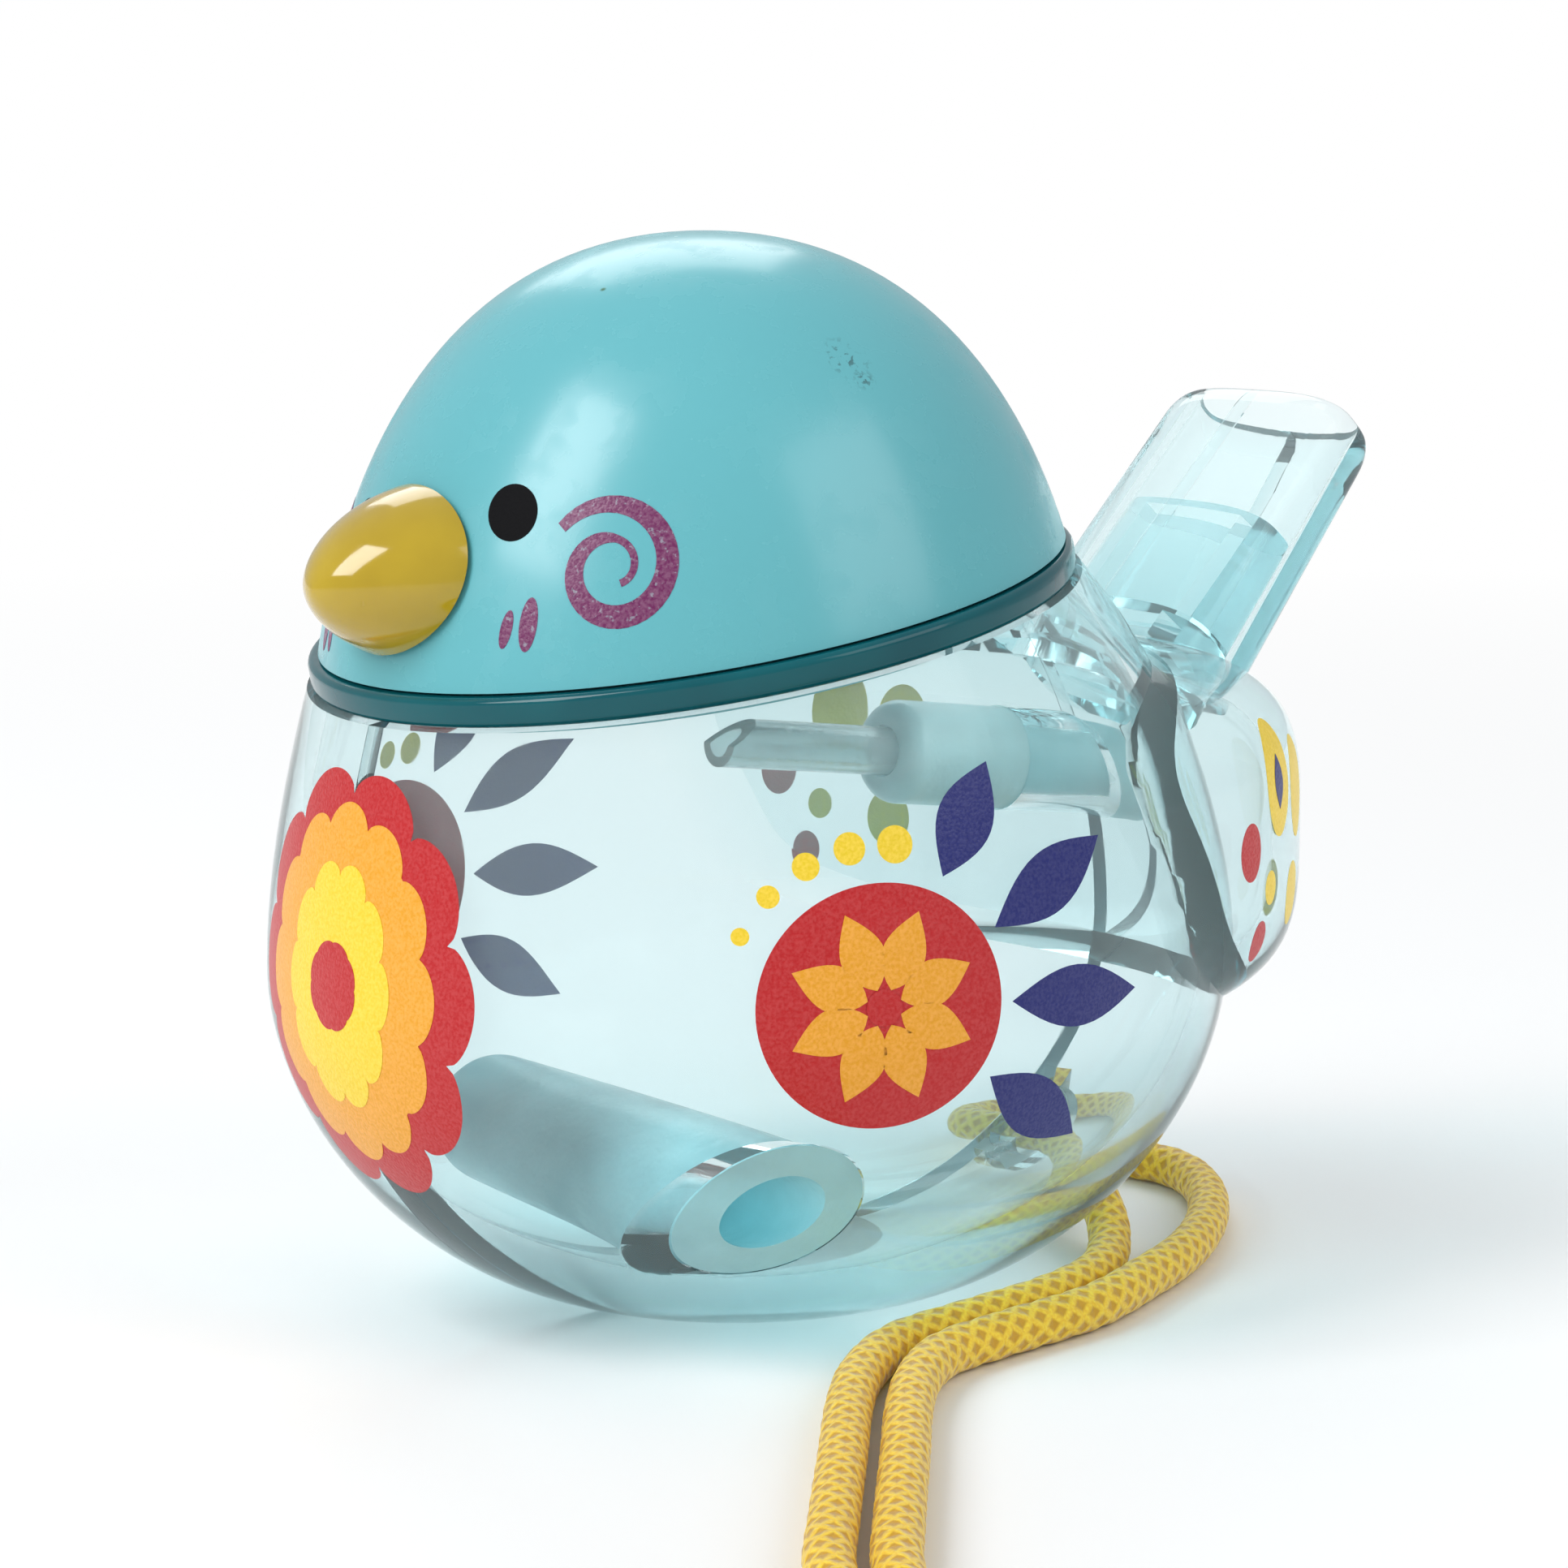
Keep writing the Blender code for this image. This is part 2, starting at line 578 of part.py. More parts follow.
# Route points of the two strands in millimetres, from the lug to the coil
NEAR_STRAND = [(15.5, -0.2, 3.9), (15.4, -3.2, 3.8), (14.4, -6.9, 2.9), (11.6, -10.9, 1.6),
               (7.0, -14.9, 1.35), (1.0, -17.5, 1.35), (-6.2, -18.9, 1.35), (-12.2, -20.2, 1.35),
               (-17.1, -23.4, 1.35), (-21.6, -27.9, 1.35), (-27.5, -34.8, 1.35), (-34.0, -42.4, 1.35),
               (-39.2, -48.7, 1.35), (-42.7, -55.0, 1.35), (-44.6, -63.5, 1.35), (-44.7, -73.5, 1.35),
               (-42.9, -84.0, 1.35), (-39.25, -93.2, 1.35)]
FAR_STRAND = [(15.5, 0.2, 3.9), (15.5, 3.8, 3.85), (16.4, 7.1, 3.4), (18.8, 9.5, 2.8),
              (22.1, 10.4, 2.2), (25.4, 9.5, 1.7), (27.8, 7.1, 1.4), (28.7, 3.8, 1.35),
              (28.2, 0.4, 1.35), (25.8, -3.9, 1.35), (22.3, -8.0, 1.35), (18.2, -11.7, 1.35),
              (13.6, -14.9, 1.35), (8.6, -17.5, 1.35), (1.9, -20.5, 1.35), (-5.6, -21.9, 1.35),
              (-11.0, -23.1, 1.35), (-15.1, -25.8, 1.35), (-19.3, -30.0, 1.35), (-25.1, -36.8, 1.35),
              (-31.6, -44.4, 1.35), (-36.6, -50.5, 1.35), (-39.8, -56.1, 1.35), (-41.5, -63.8, 1.35),
              (-41.6, -73.2, 1.35), (-40.0, -82.6, 1.35), (-38.2, -88.0, 1.35)]


def smooth_route(points, step):
    """Points along one smooth curve through the route's own points, about a step apart."""
    route = [Vector(point) * MM for point in points]
    ends = [2 * route[0] - route[1]] + route + [2 * route[-1] - route[-2]]
    line = []
    for a, b, c, d in zip(ends, ends[1:], ends[2:], ends[3:]):
        count = max(1, round((c - b).length / step))
        for i in range(count):
            t = i / count
            line.append(0.5 * (2 * b + (c - a) * t + (2 * a - 5 * b + 4 * c - d) * t ** 2
                               + (3 * b - a - 3 * c + d) * t ** 3))
    return line + [route[-1]]


def make_strand(name, points, material):
    curve = bpy.data.curves.new(name, "CURVE")
    curve.dimensions = "3D"
    curve.bevel_depth = CORD_DIAMETER / 2
    curve.bevel_resolution = 2
    curve.use_fill_caps = True
    route = smooth_route(points, 2.2 * CORD_DIAMETER)
    spline = curve.splines.new("POLY")
    spline.points.add(len(route) - 1)
    for target, point in zip(spline.points, route):
        target.co = (*point, 1.0)
    curve.materials.append(material)
    return place(bpy.data.objects.new(name, curve), PARTS)


def make_coil(cord, tie):
    """The unseen length: one flat ring of turns, its tie round it and the knot of both ends lying on it."""
    low = TIE_THICKNESS + FIT
    high = low + CORD_DIAMETER
    inner, outer = COIL_INNER_RADIUS, COIL_OUTER_RADIUS
    edge = CORD_DIAMETER / 3
    profile = [(inner + edge, high), (outer - edge, high), (outer, high - edge), (outer, low + edge),
               (outer - edge, low), (inner + edge, low), (inner, low + edge), (inner, high - edge)]
    middle = Matrix.Translation((COIL_X, COIL_Y, 0.0))
    finish(turn("cord_coil", profile, middle, HEAD_STEPS, PARTS), cord)
    half = TIE_WIDTH / 2
    near = (inner ** 2 - half ** 2) ** 0.5 - FIT
    far, top = outer + FIT, high + FIT
    outside = box("cord_tie", (near - TIE_THICKNESS, -half, 0.0),
                  (far + TIE_THICKNESS, half, top + TIE_THICKNESS), middle, PARTS)
    inside = box("tie_inside", (near, -TIE_WIDTH, TIE_THICKNESS), (far, TIE_WIDTH, top), middle, CUTTERS)
    combine(outside, inside, "DIFFERENCE")
    finish(outside, tie)
    bm = bmesh.new()
    bmesh.ops.create_uvsphere(bm, u_segments=20, v_segments=12, radius=KNOT_RADIUS)
    bm.transform(middle @ Matrix.Translation((0.0, -KNOT_FROM_MIDDLE, high + FIT + KNOT_RADIUS)))
    finish(object_from_bmesh("cord_knot", bm, PARTS), cord)


clear_scene()
PARTS = make_collection("bird_whistle")
CUTTERS = make_collection("cutters")
clear_plastic = make_material("clear_plastic", (0.72, 0.90, 0.91), 0.08, 0.85)
frosted_plastic = make_material("frosted_plastic", (0.42, 0.72, 0.74), 0.35, 0.5)
make_body(clear_plastic)
make_pipe(frosted_plastic)
make_barrel(frosted_plastic)
make_air_tube(clear_plastic)
make_mouth_blocks(clear_plastic)
make_ring(make_material("ring_plastic", (0.0, 0.10, 0.13), 0.2))
make_head(make_material("head_plastic", (0.19, 0.58, 0.62), 0.15))
make_beak(make_material("beak_plastic", (0.60, 0.40, 0.01), 0.12))
cord_yellow = make_material("cord_yellow", (0.80, 0.50, 0.02), 0.7)
make_strand("cord_strand_near", NEAR_STRAND, cord_yellow)
make_strand("cord_strand_far", FAR_STRAND, cord_yellow)
make_coil(cord_yellow, make_material("tie_plastic", (0.85, 0.85, 0.82), 0.4))
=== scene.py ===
from math import cos, hypot, pi, radians, sin, tau

import bmesh
import bpy
from mathutils import Matrix, Vector
from mathutils.bvhtree import BVHTree
from mathutils.geometry import delaunay_2d_cdt


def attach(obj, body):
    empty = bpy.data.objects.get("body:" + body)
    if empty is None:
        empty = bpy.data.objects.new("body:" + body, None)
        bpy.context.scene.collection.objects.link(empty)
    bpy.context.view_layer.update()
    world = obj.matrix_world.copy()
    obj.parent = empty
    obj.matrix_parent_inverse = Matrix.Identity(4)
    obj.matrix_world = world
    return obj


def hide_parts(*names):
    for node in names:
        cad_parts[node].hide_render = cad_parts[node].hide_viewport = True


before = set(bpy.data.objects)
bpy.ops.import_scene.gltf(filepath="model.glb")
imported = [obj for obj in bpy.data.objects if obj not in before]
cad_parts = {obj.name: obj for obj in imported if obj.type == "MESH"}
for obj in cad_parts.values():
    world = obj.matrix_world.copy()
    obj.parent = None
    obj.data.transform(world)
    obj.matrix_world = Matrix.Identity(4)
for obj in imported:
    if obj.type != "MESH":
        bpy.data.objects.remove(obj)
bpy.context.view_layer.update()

# The view: a long lens close to the level of the bird's eye, from in front of its left shoulder.
MM = 0.001
VIEW_TURN = radians(-37.5)
VIEW_RISE = radians(8.2)
VIEW_REACH = 260 * MM
VIEW_AIM = Vector((-4.5, 0.0, 29.4)) * MM
VIEW_LENS = 102.1

towards_camera = Vector((sin(VIEW_TURN) * cos(VIEW_RISE), -cos(VIEW_TURN) * cos(VIEW_RISE), sin(VIEW_RISE)))
camera = bpy.data.objects.new("camera", bpy.data.cameras.new("camera"))
bpy.context.scene.collection.objects.link(camera)
camera.location = VIEW_AIM + towards_camera * VIEW_REACH
camera.rotation_euler = towards_camera.to_track_quat("Z", "Y").to_euler()
camera.data.sensor_width = 36.0
camera.data.lens = VIEW_LENS
camera.data.clip_start = 0.01
bpy.context.scene.camera = camera


# Clear body: two injection-moulded half shells, welded down the breast and along the tail.
# Bowl, rump chamber, mouthpiece and cord lug are one moulding on each side, in pale aqua
# see-through plastic about a millimetre and a half thick.
SHELL_WALL = 1.6 * MM
SHELL_FLOOR = 2.0 * MM
SEAM_LINE = 0.05 * MM
FIT = 0.3 * MM
CLOSE_FIT = FIT / 3
BOWL_X = -6.9 * MM
BOWL_HALF_LENGTH = 28.7 * MM
BOWL_HALF_WIDTH = 26.5 * MM
BOWL_WIDEST_Z = 19.5 * MM
BASE_HALF_LENGTH = 8.3 * MM
BASE_HALF_WIDTH = 7.7 * MM
BELLY_POWER = 1.83
NECK_Z = 39.4 * MM
NECK_SETBACK = 4.1 * MM
NECK_RADIUS = 22.4 * MM
NECK_TILT = radians(11.0)
RUMP_MIDDLE = Vector((2.4, 0.0, 26.3)) * MM
RUMP_HALF_SIZE = Vector((26.2, 23.8, 11.4)) * MM
RUMP_SIDE_POWER = 3.8
RUMP_SEGMENTS = 120
RUMP_RINGS = 72
MOUTH_TIP = Vector((34.7, 0.0, 49.4)) * MM
MOUTH_ANGLE = radians(45.7)
MOUTH_LENGTH = 23.5 * MM
MOUTH_WIDTH = 15.8 * MM
MOUTH_THICKNESS = 6.4 * MM
MOUTH_BASE_THICKNESS = 9.6 * MM
MOUTH_WALL = 1.5 * MM
MOUTH_POWER = 3.2
MOUTH_TIP_ROUND = 0.8 * MM
MOUTH_CORNER_ROUND = 2.2 * MM
LUG_MIDDLE = Vector((15.5, 0.0, 4.3)) * MM
LUG_RADIUS = 3.7 * MM
LUG_HOLE = 4.4 * MM
LUG_THICKNESS = 3.2 * MM
FAR = 0.2


def linked(name, mesh):
    obj = bpy.data.objects.new(name, mesh)
    bpy.context.scene.collection.objects.link(obj)
    return obj


def from_bmesh(name, bm):
    mesh = bpy.data.meshes.new(name)
    bmesh.ops.recalc_face_normals(bm, faces=bm.faces)
    if bm.calc_volume(signed=True) < 0:
        bmesh.ops.reverse_faces(bm, faces=bm.faces)
    bm.to_mesh(mesh)
    bm.free()
    return linked(name, mesh)


def loft(name, rings):
    """Skin a row of like rings of points and close both ends."""
    bm = bmesh.new()
    rows = [[bm.verts.new(point) for point in ring] for ring in rings]
    count = len(rings[0])
    for low, high in zip(rows, rows[1:]):
        for i in range(count):
            j = (i + 1) % count
            bm.faces.new((low[i], low[j], high[j], high[i]))
    bm.faces.new(rows[0])
    bm.faces.new(rows[-1])
    return from_bmesh(name, bm)


def turned(name, profile, place, steps=96, closed=True):
    """Turn a profile of (radius, height) points about the z axis of a frame."""
    bm = bmesh.new()
    rows = []
    for radius, height in profile:
        if radius < 0.000001:
            rows.append([bm.verts.new(place @ Vector((0.0, 0.0, height)))] * steps)
            continue
        angles = [tau * i / steps for i in range(steps)]
        ring = [Vector((radius * cos(angle), radius * sin(angle), height)) for angle in angles]
        rows.append([bm.verts.new(place @ point) for point in ring])
    pairs = list(zip(rows, rows[1:]))
    if closed:
        pairs.append((rows[-1], rows[0]))
    for low, high in pairs:
        for i in range(steps):
            j = (i + 1) % steps
            corners = []
            for vert in (low[i], low[j], high[j], high[i]):
                if vert not in corners:
                    corners.append(vert)
            if len(corners) > 2:
                bm.faces.new(corners)
    return from_bmesh(name, bm)


def box(name, low, high, place=Matrix.Identity(4)):
    bm = bmesh.new()
    bmesh.ops.create_cube(bm, size=1.0)
    low, high = Vector(low), Vector(high)
    bm.transform(place @ Matrix.Translation((low + high) / 2) @ Matrix.Diagonal((*(high - low), 1.0)))
    return from_bmesh(name, bm)


def rod(name, radius, start, end, place):
    return turned(name, [(0.0, start), (radius, start), (radius, end), (0.0, end)], place, 64, closed=False)


def combine(target, tool, operation):
    """Join or cut with a tool, which is used up."""
    modifier = target.modifiers.new("cut", "BOOLEAN")
    modifier.operation = operation
    modifier.solver = "EXACT"
    modifier.object = tool
    shape = target.evaluated_get(bpy.context.evaluated_depsgraph_get())
    mesh = bpy.data.meshes.new_from_object(shape)
    target.modifiers.clear()
    target.data = mesh
    bpy.data.objects.remove(tool)


def bowl_section(x, z, half_length, half_width, tilt, count):
    points = []
    for i in range(count):
        angle = tau * (i + 0.5) / count
        ahead = half_length * cos(angle)
        points.append(Vector((x + ahead * cos(tilt), half_width * sin(angle), z + ahead * sin(tilt))))
    return points


def bowl_rings(inset, floor, count=144, belly=34, shoulder=20):
    """Sections of the bowl: flat base, widest ellipse, tilted round neck."""
    rings = []
    for i in range(belly + 1):
        drop = cos(pi / 2 * i / belly)
        swell = (1 - drop ** BELLY_POWER) ** (1 / BELLY_POWER)
        length = BASE_HALF_LENGTH + (BOWL_HALF_LENGTH - BASE_HALF_LENGTH) * swell - inset
        width = BASE_HALF_WIDTH + (BOWL_HALF_WIDTH - BASE_HALF_WIDTH) * swell - inset
        z = floor + (BOWL_WIDEST_Z - floor) * (1 - drop)
        rings.append(bowl_section(BOWL_X, z, length, width, 0.0, count))
    for i in range(1, shoulder + 1):
        rise = i / shoulder
        close = rise ** 2
        length = BOWL_HALF_LENGTH + (NECK_RADIUS - BOWL_HALF_LENGTH) * close - inset
        width = BOWL_HALF_WIDTH + (NECK_RADIUS - BOWL_HALF_WIDTH) * close - inset
        z = BOWL_WIDEST_Z + (NECK_Z - BOWL_WIDEST_Z) * rise
        rings.append(bowl_section(BOWL_X - NECK_SETBACK * close, z, length, width, NECK_TILT * rise, count))
    return rings


def neck_frame():
    """Origin in the middle of the neck's rim, z square to its plane."""
    return Matrix.Translation((BOWL_X - NECK_SETBACK, 0.0, NECK_Z)) @ Matrix.Rotation(-NECK_TILT, 4, "Y")


def rump(name, inset):
    """Rounded form, an ellipse from above and nearly a box from the side."""
    bm = bmesh.new()
    bmesh.ops.create_uvsphere(bm, u_segments=RUMP_SEGMENTS, v_segments=RUMP_RINGS, radius=1.0)
    for vert in bm.verts:
        level, height = vert.co.xy.length, abs(vert.co.z)
        vert.co /= (level ** RUMP_SIDE_POWER + height ** RUMP_SIDE_POWER) ** (1 / RUMP_SIDE_POWER)
    sizes = [size - inset for size in RUMP_HALF_SIZE]
    half_step = Matrix.Rotation(pi / RUMP_SEGMENTS, 4, "Z")
    bm.transform(Matrix.Translation(RUMP_MIDDLE) @ Matrix.Diagonal((*sizes, 1.0)) @ half_step)
    return from_bmesh(name, bm)


def mouth_section(back, inset_side, inset_face, count=72):
    """Flattened round section of the mouthpiece, a distance back from its tip, thicker towards the base."""
    along = Vector((cos(MOUTH_ANGLE), 0.0, sin(MOUTH_ANGLE)))
    face = Vector((-sin(MOUTH_ANGLE), 0.0, cos(MOUTH_ANGLE)))
    growth = (MOUTH_BASE_THICKNESS - MOUTH_THICKNESS) / 2 * back / MOUTH_LENGTH
    centre = MOUTH_TIP - along * back - face * growth
    half_width, half_height = MOUTH_WIDTH / 2 - inset_side, MOUTH_THICKNESS / 2 + growth - inset_face
    points = []
    for i in range(count):
        angle = tau * (i + 0.5) / count
        side = abs(cos(angle)) ** (2 / MOUTH_POWER) * (1 if cos(angle) > 0 else -1)
        lift = abs(sin(angle)) ** (2 / MOUTH_POWER) * (1 if sin(angle) > 0 else -1)
        points.append(centre + Vector((0.0, side * half_width, 0.0)) + face * (lift * half_height))
    return points


def mouth_outside(name, steps=10):
    rings = [mouth_section(MOUTH_LENGTH, 0.0, 0.0), mouth_section(MOUTH_CORNER_ROUND, 0.0, 0.0)]
    for i in range(1, steps + 1):
        turn_in = 1 - cos(pi / 2 * i / steps)
        back = MOUTH_CORNER_ROUND * (1 - sin(pi / 2 * i / steps))
        rings.append(mouth_section(back, MOUTH_CORNER_ROUND * turn_in * 0.5, MOUTH_TIP_ROUND * turn_in))
    return loft(name, rings)


def cord_lug(name):
    across = Matrix.Translation(LUG_MIDDLE) @ Matrix.Rotation(pi / 2, 4, "X")
    half = LUG_THICKNESS / 2
    eye = rod(name, LUG_RADIUS, -half, half, across)
    web_half = LUG_RADIUS * 0.6
    combine(eye, box("web", LUG_MIDDLE - Vector((web_half, half, 0.0)),
                     LUG_MIDDLE + Vector((web_half, half, LUG_RADIUS + SHELL_WALL))), "UNION")
    combine(eye, rod("hole", LUG_HOLE / 2, -LUG_THICKNESS, LUG_THICKNESS, across), "DIFFERENCE")
    return eye


# The whistle barrel slopes down to the tail through the bowl's rear wall, and the side pipe
# lies across the belly, so the shells leave a seat for each.
BARREL_FRONT = Vector((2.9, 0.0, 30.7)) * MM
BARREL_PITCH = radians(7.0)
BARREL_LENGTH = 22.5 * MM
BARREL_DIAMETER = 6.2 * MM
PIPE_X = -20.4 * MM
PIPE_Z = 9.9 * MM
PIPE_DIAMETER = 8.2 * MM
PIPE_END_Y = 8.4 * MM
barrel_frame = Matrix.Translation(BARREL_FRONT) @ Matrix.Rotation(pi / 2 + BARREL_PITCH, 4, "Y")
pipe_frame = Matrix.Translation((PIPE_X, 0.0, PIPE_Z)) @ Matrix.Rotation(pi / 2, 4, "X")


def whole_body():
    body = loft("whole_body", bowl_rings(0.0, 0.0))
    combine(body, rump("rump", 0.0), "UNION")
    combine(body, mouth_outside("mouth"), "UNION")
    combine(body, cord_lug("lug"), "UNION")
    pipe_seat = rod("pipe_seat", PIPE_DIAMETER / 2 + CLOSE_FIT, -PIPE_END_Y - FIT, FAR, pipe_frame)
    combine(body, pipe_seat, "DIFFERENCE")
    chamber = rump("chamber", SHELL_WALL)
    channel = [mouth_section(back, MOUTH_WALL, MOUTH_WALL) for back in (MOUTH_LENGTH, -MOUTH_WALL)]
    combine(chamber, loft("channel", channel), "UNION")
    combine(chamber, loft("bowl", bowl_rings(0.0, 0.0)), "DIFFERENCE")
    combine(body, chamber, "DIFFERENCE")
    rings = bowl_rings(SHELL_WALL, SHELL_FLOOR)
    past_rim = neck_frame().col[2].to_3d() * SHELL_FLOOR
    rings.append([point + past_rim for point in rings[-1]])
    combine(body, loft("bowl_inside", rings), "DIFFERENCE")
    barrel_hole = rod("barrel_hole", BARREL_DIAMETER / 2 + CLOSE_FIT, BARREL_LENGTH * 0.4,
                      BARREL_LENGTH + FIT, barrel_frame)
    combine(body, barrel_hole, "DIFFERENCE")
    return body


class Paint:
    """A material's node tree, with short calls for the nodes that this object's finishes use."""

    def __init__(self, name):
        self.material = bpy.data.materials.new(name)
        self.material.use_nodes = True
        self.tree = self.material.node_tree
        self.tree.nodes.clear()
        self.output = self.tree.nodes.new("ShaderNodeOutputMaterial")
        self.place = self.tree.nodes.new("ShaderNodeTexCoord").outputs["Object"]

    def node(self, kind, settings=(), **sockets):
        node = self.tree.nodes.new(kind)
        for key, value in dict(settings).items():
            setattr(node, key, value)
        for key, value in sockets.items():
            self.set(node.inputs[key.replace("_", " ")], value)
        return node

    def set(self, socket, value):
        if isinstance(value, bpy.types.NodeSocket):
            self.tree.links.new(value, socket)
        elif isinstance(value, tuple) and len(value) == 3 and socket.type == "RGBA":
            socket.default_value = (*value, 1.0)
        else:
            socket.default_value = value

    def noise(self, scale, detail=2.0):
        return self.node("ShaderNodeTexNoise", Vector=self.place, Scale=scale, Detail=detail).outputs["Fac"]

    def span(self, value, low, high, to_low, to_high):
        node = self.node("ShaderNodeMapRange", {"clamp": True}, Value=value)
        for key, number in zip(("From Min", "From Max", "To Min", "To Max"), (low, high, to_low, to_high)):
            node.inputs[key].default_value = number
        return node.outputs["Result"]

    def math(self, operation, a, b=0.0):
        node = self.tree.nodes.new("ShaderNodeMath")
        node.operation = operation
        self.set(node.inputs[0], a)
        self.set(node.inputs[1], b)
        return node.outputs[0]

    def blend(self, share, a, b):
        node = self.tree.nodes.new("ShaderNodeMix")
        node.data_type = "RGBA"
        self.set(node.inputs["Factor"], share)
        self.set(node.inputs["A"], a)
        self.set(node.inputs["B"], b)
        return node.outputs["Result"]

    def bump(self, height, depth, strength=1.0):
        return self.node("ShaderNodeBump", Height=height, Distance=depth, Strength=strength).outputs["Normal"]

    def near(self, point, radius, soft):
        """1 within a radius of a point on the object, falling to 0 over a soft edge."""
        away = self.node("ShaderNodeVectorMath", {"operation": "DISTANCE"})
        self.set(away.inputs[0], self.place)
        away.inputs[1].default_value = point
        return self.span(away.outputs["Value"], radius, radius + soft, 1.0, 0.0)

    def shader(self, **sockets):
        return self.node("ShaderNodeBsdfPrincipled", **sockets).outputs["BSDF"]

    def finish(self, surface, volume=None):
        self.set(self.output.inputs["Surface"], surface)
        if volume:
            self.set(self.output.inputs["Volume"], volume)
        return self.material


CLEAR_IOR = 1.2
CLEARNESS = 0.95


def clear_plastic(name, tint, depth_colour, density, shadow):
    """See-through moulded plastic: faintly milky and wavy, hairline rubs, its colour from its depth."""
    paint = Paint(name)
    rubs = paint.noise(900.0, 3.0)
    roughness = paint.span(rubs, 0.5, 0.8, 0.0, 0.10)
    waves = paint.bump(paint.noise(70.0, 1.0), 0.12 * MM)
    glass = paint.shader(Base_Color=tint, Roughness=roughness, IOR=CLEAR_IOR, Transmission_Weight=CLEARNESS,
                         Normal=waves)
    lamps_through = paint.node("ShaderNodeBsdfTransparent", Color=shadow).outputs["BSDF"]
    path = paint.node("ShaderNodeLightPath").outputs["Is Shadow Ray"]
    mix = paint.node("ShaderNodeMixShader", Fac=path)
    paint.set(mix.inputs[1], glass)
    paint.set(mix.inputs[2], lamps_through)
    depth = paint.node("ShaderNodeVolumeAbsorption", Color=depth_colour, Density=density).outputs["Volume"]
    return paint.finish(mix.outputs["Shader"], depth)


def smooth_piece(obj, material, slot, *nodes, angle=30.0):
    """Shade a finished piece, give it its material and let it stand for its CAD nodes."""
    mesh = obj.data
    mesh.materials.clear()
    mesh.materials.append(material)
    mesh.shade_smooth()
    mesh.set_sharp_from_angle(angle=radians(angle))
    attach(obj, "root")
    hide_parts(*nodes)
    return obj


shell_plastic = clear_plastic("shell_plastic", tint=(0.93, 0.975, 0.98), depth_colour=(0.42, 0.80, 0.84),
                              density=75.0, shadow=(0.93, 0.975, 0.98))
whole = whole_body()
for side, node in ((-1, "body_left"), (1, "body_right")):
    half_shell = linked("shell_" + node[5:], whole.data.copy())
    near, far = sorted((side * SEAM_LINE / 2, side * FAR))
    combine(half_shell, box("half", (-FAR, near, -FAR), (FAR, far, FAR)), "INTERSECT")
    smooth_piece(half_shell, shell_plastic, "clear_shell", node)
bpy.data.objects.remove(whole)


# Windway and fipple: two clear blocks pressed into the mouthpiece channel. Breath runs
# through the slot in the first and over the window's lip in the second.
WINDWAY_START = 8.9 * MM
WINDWAY_LENGTH = 8.0 * MM
SLOT_WIDTH = 8.0 * MM
SLOT_HEIGHT = 1.1 * MM
FIPPLE_LENGTH = 3.2 * MM
FIPPLE_WINDOW = 1.8 * MM

block_plastic = clear_plastic("block_plastic", tint=(0.90, 0.965, 0.97), depth_colour=(0.35, 0.80, 0.85),
                              density=80.0, shadow=(0.92, 0.97, 0.98))


def mouth_frame(back):
    """Origin a distance back from the tip, z back along the mouthpiece, y up out of its top face."""
    angle = MOUTH_ANGLE
    axes = Matrix(((0.0, -sin(angle), -cos(angle)), (-1.0, 0.0, 0.0), (0.0, cos(angle), -sin(angle))))
    return Matrix.Translation(MOUTH_TIP + axes.col[2] * back) @ axes.to_4x4()


def mouth_block(name, start, length):
    inset = MOUTH_WALL + CLOSE_FIT
    return loft(name, [mouth_section(back, inset, inset) for back in (start + length, start)])


half_slot = (SLOT_WIDTH / 2, SLOT_HEIGHT / 2)
windway = mouth_block("windway", WINDWAY_START, WINDWAY_LENGTH)
slot_start = (-half_slot[0], -half_slot[1], -FIT)
slot = box("slot", slot_start, (*half_slot, WINDWAY_LENGTH + FIT), mouth_frame(WINDWAY_START))
combine(windway, slot, "DIFFERENCE")
smooth_piece(windway, block_plastic, "clear_inner", "windway_block")
fipple_start = WINDWAY_START + WINDWAY_LENGTH + FIT
fipple = mouth_block("fipple", fipple_start, FIPPLE_LENGTH)
window = box("window", slot_start, (half_slot[0], MOUTH_THICKNESS, FIPPLE_WINDOW), mouth_frame(fipple_start))
combine(fipple, window, "DIFFERENCE")
outlet = box("outlet", slot_start, (*half_slot, FIPPLE_LENGTH + FIT), mouth_frame(fipple_start))
combine(fipple, outlet, "DIFFERENCE")
smooth_piece(fipple, block_plastic, "clear_inner", "fipple_block")


# Whistle barrel and air tube: a frosted aqua pipe pushed through the bowl's rear wall, with a
# thin clear tube in its front end. The tube's free tip is cut on the slant.
BARREL_SHOULDER = 1.2 * MM
AIR_TUBE_DIAMETER = 2.9 * MM
AIR_TUBE_BORE = 1.7 * MM
AIR_TUBE_REACH = 12.2 * MM
AIR_TUBE_SEAT = 5.0 * MM
AIR_TUBE_SLANT = radians(55.0)


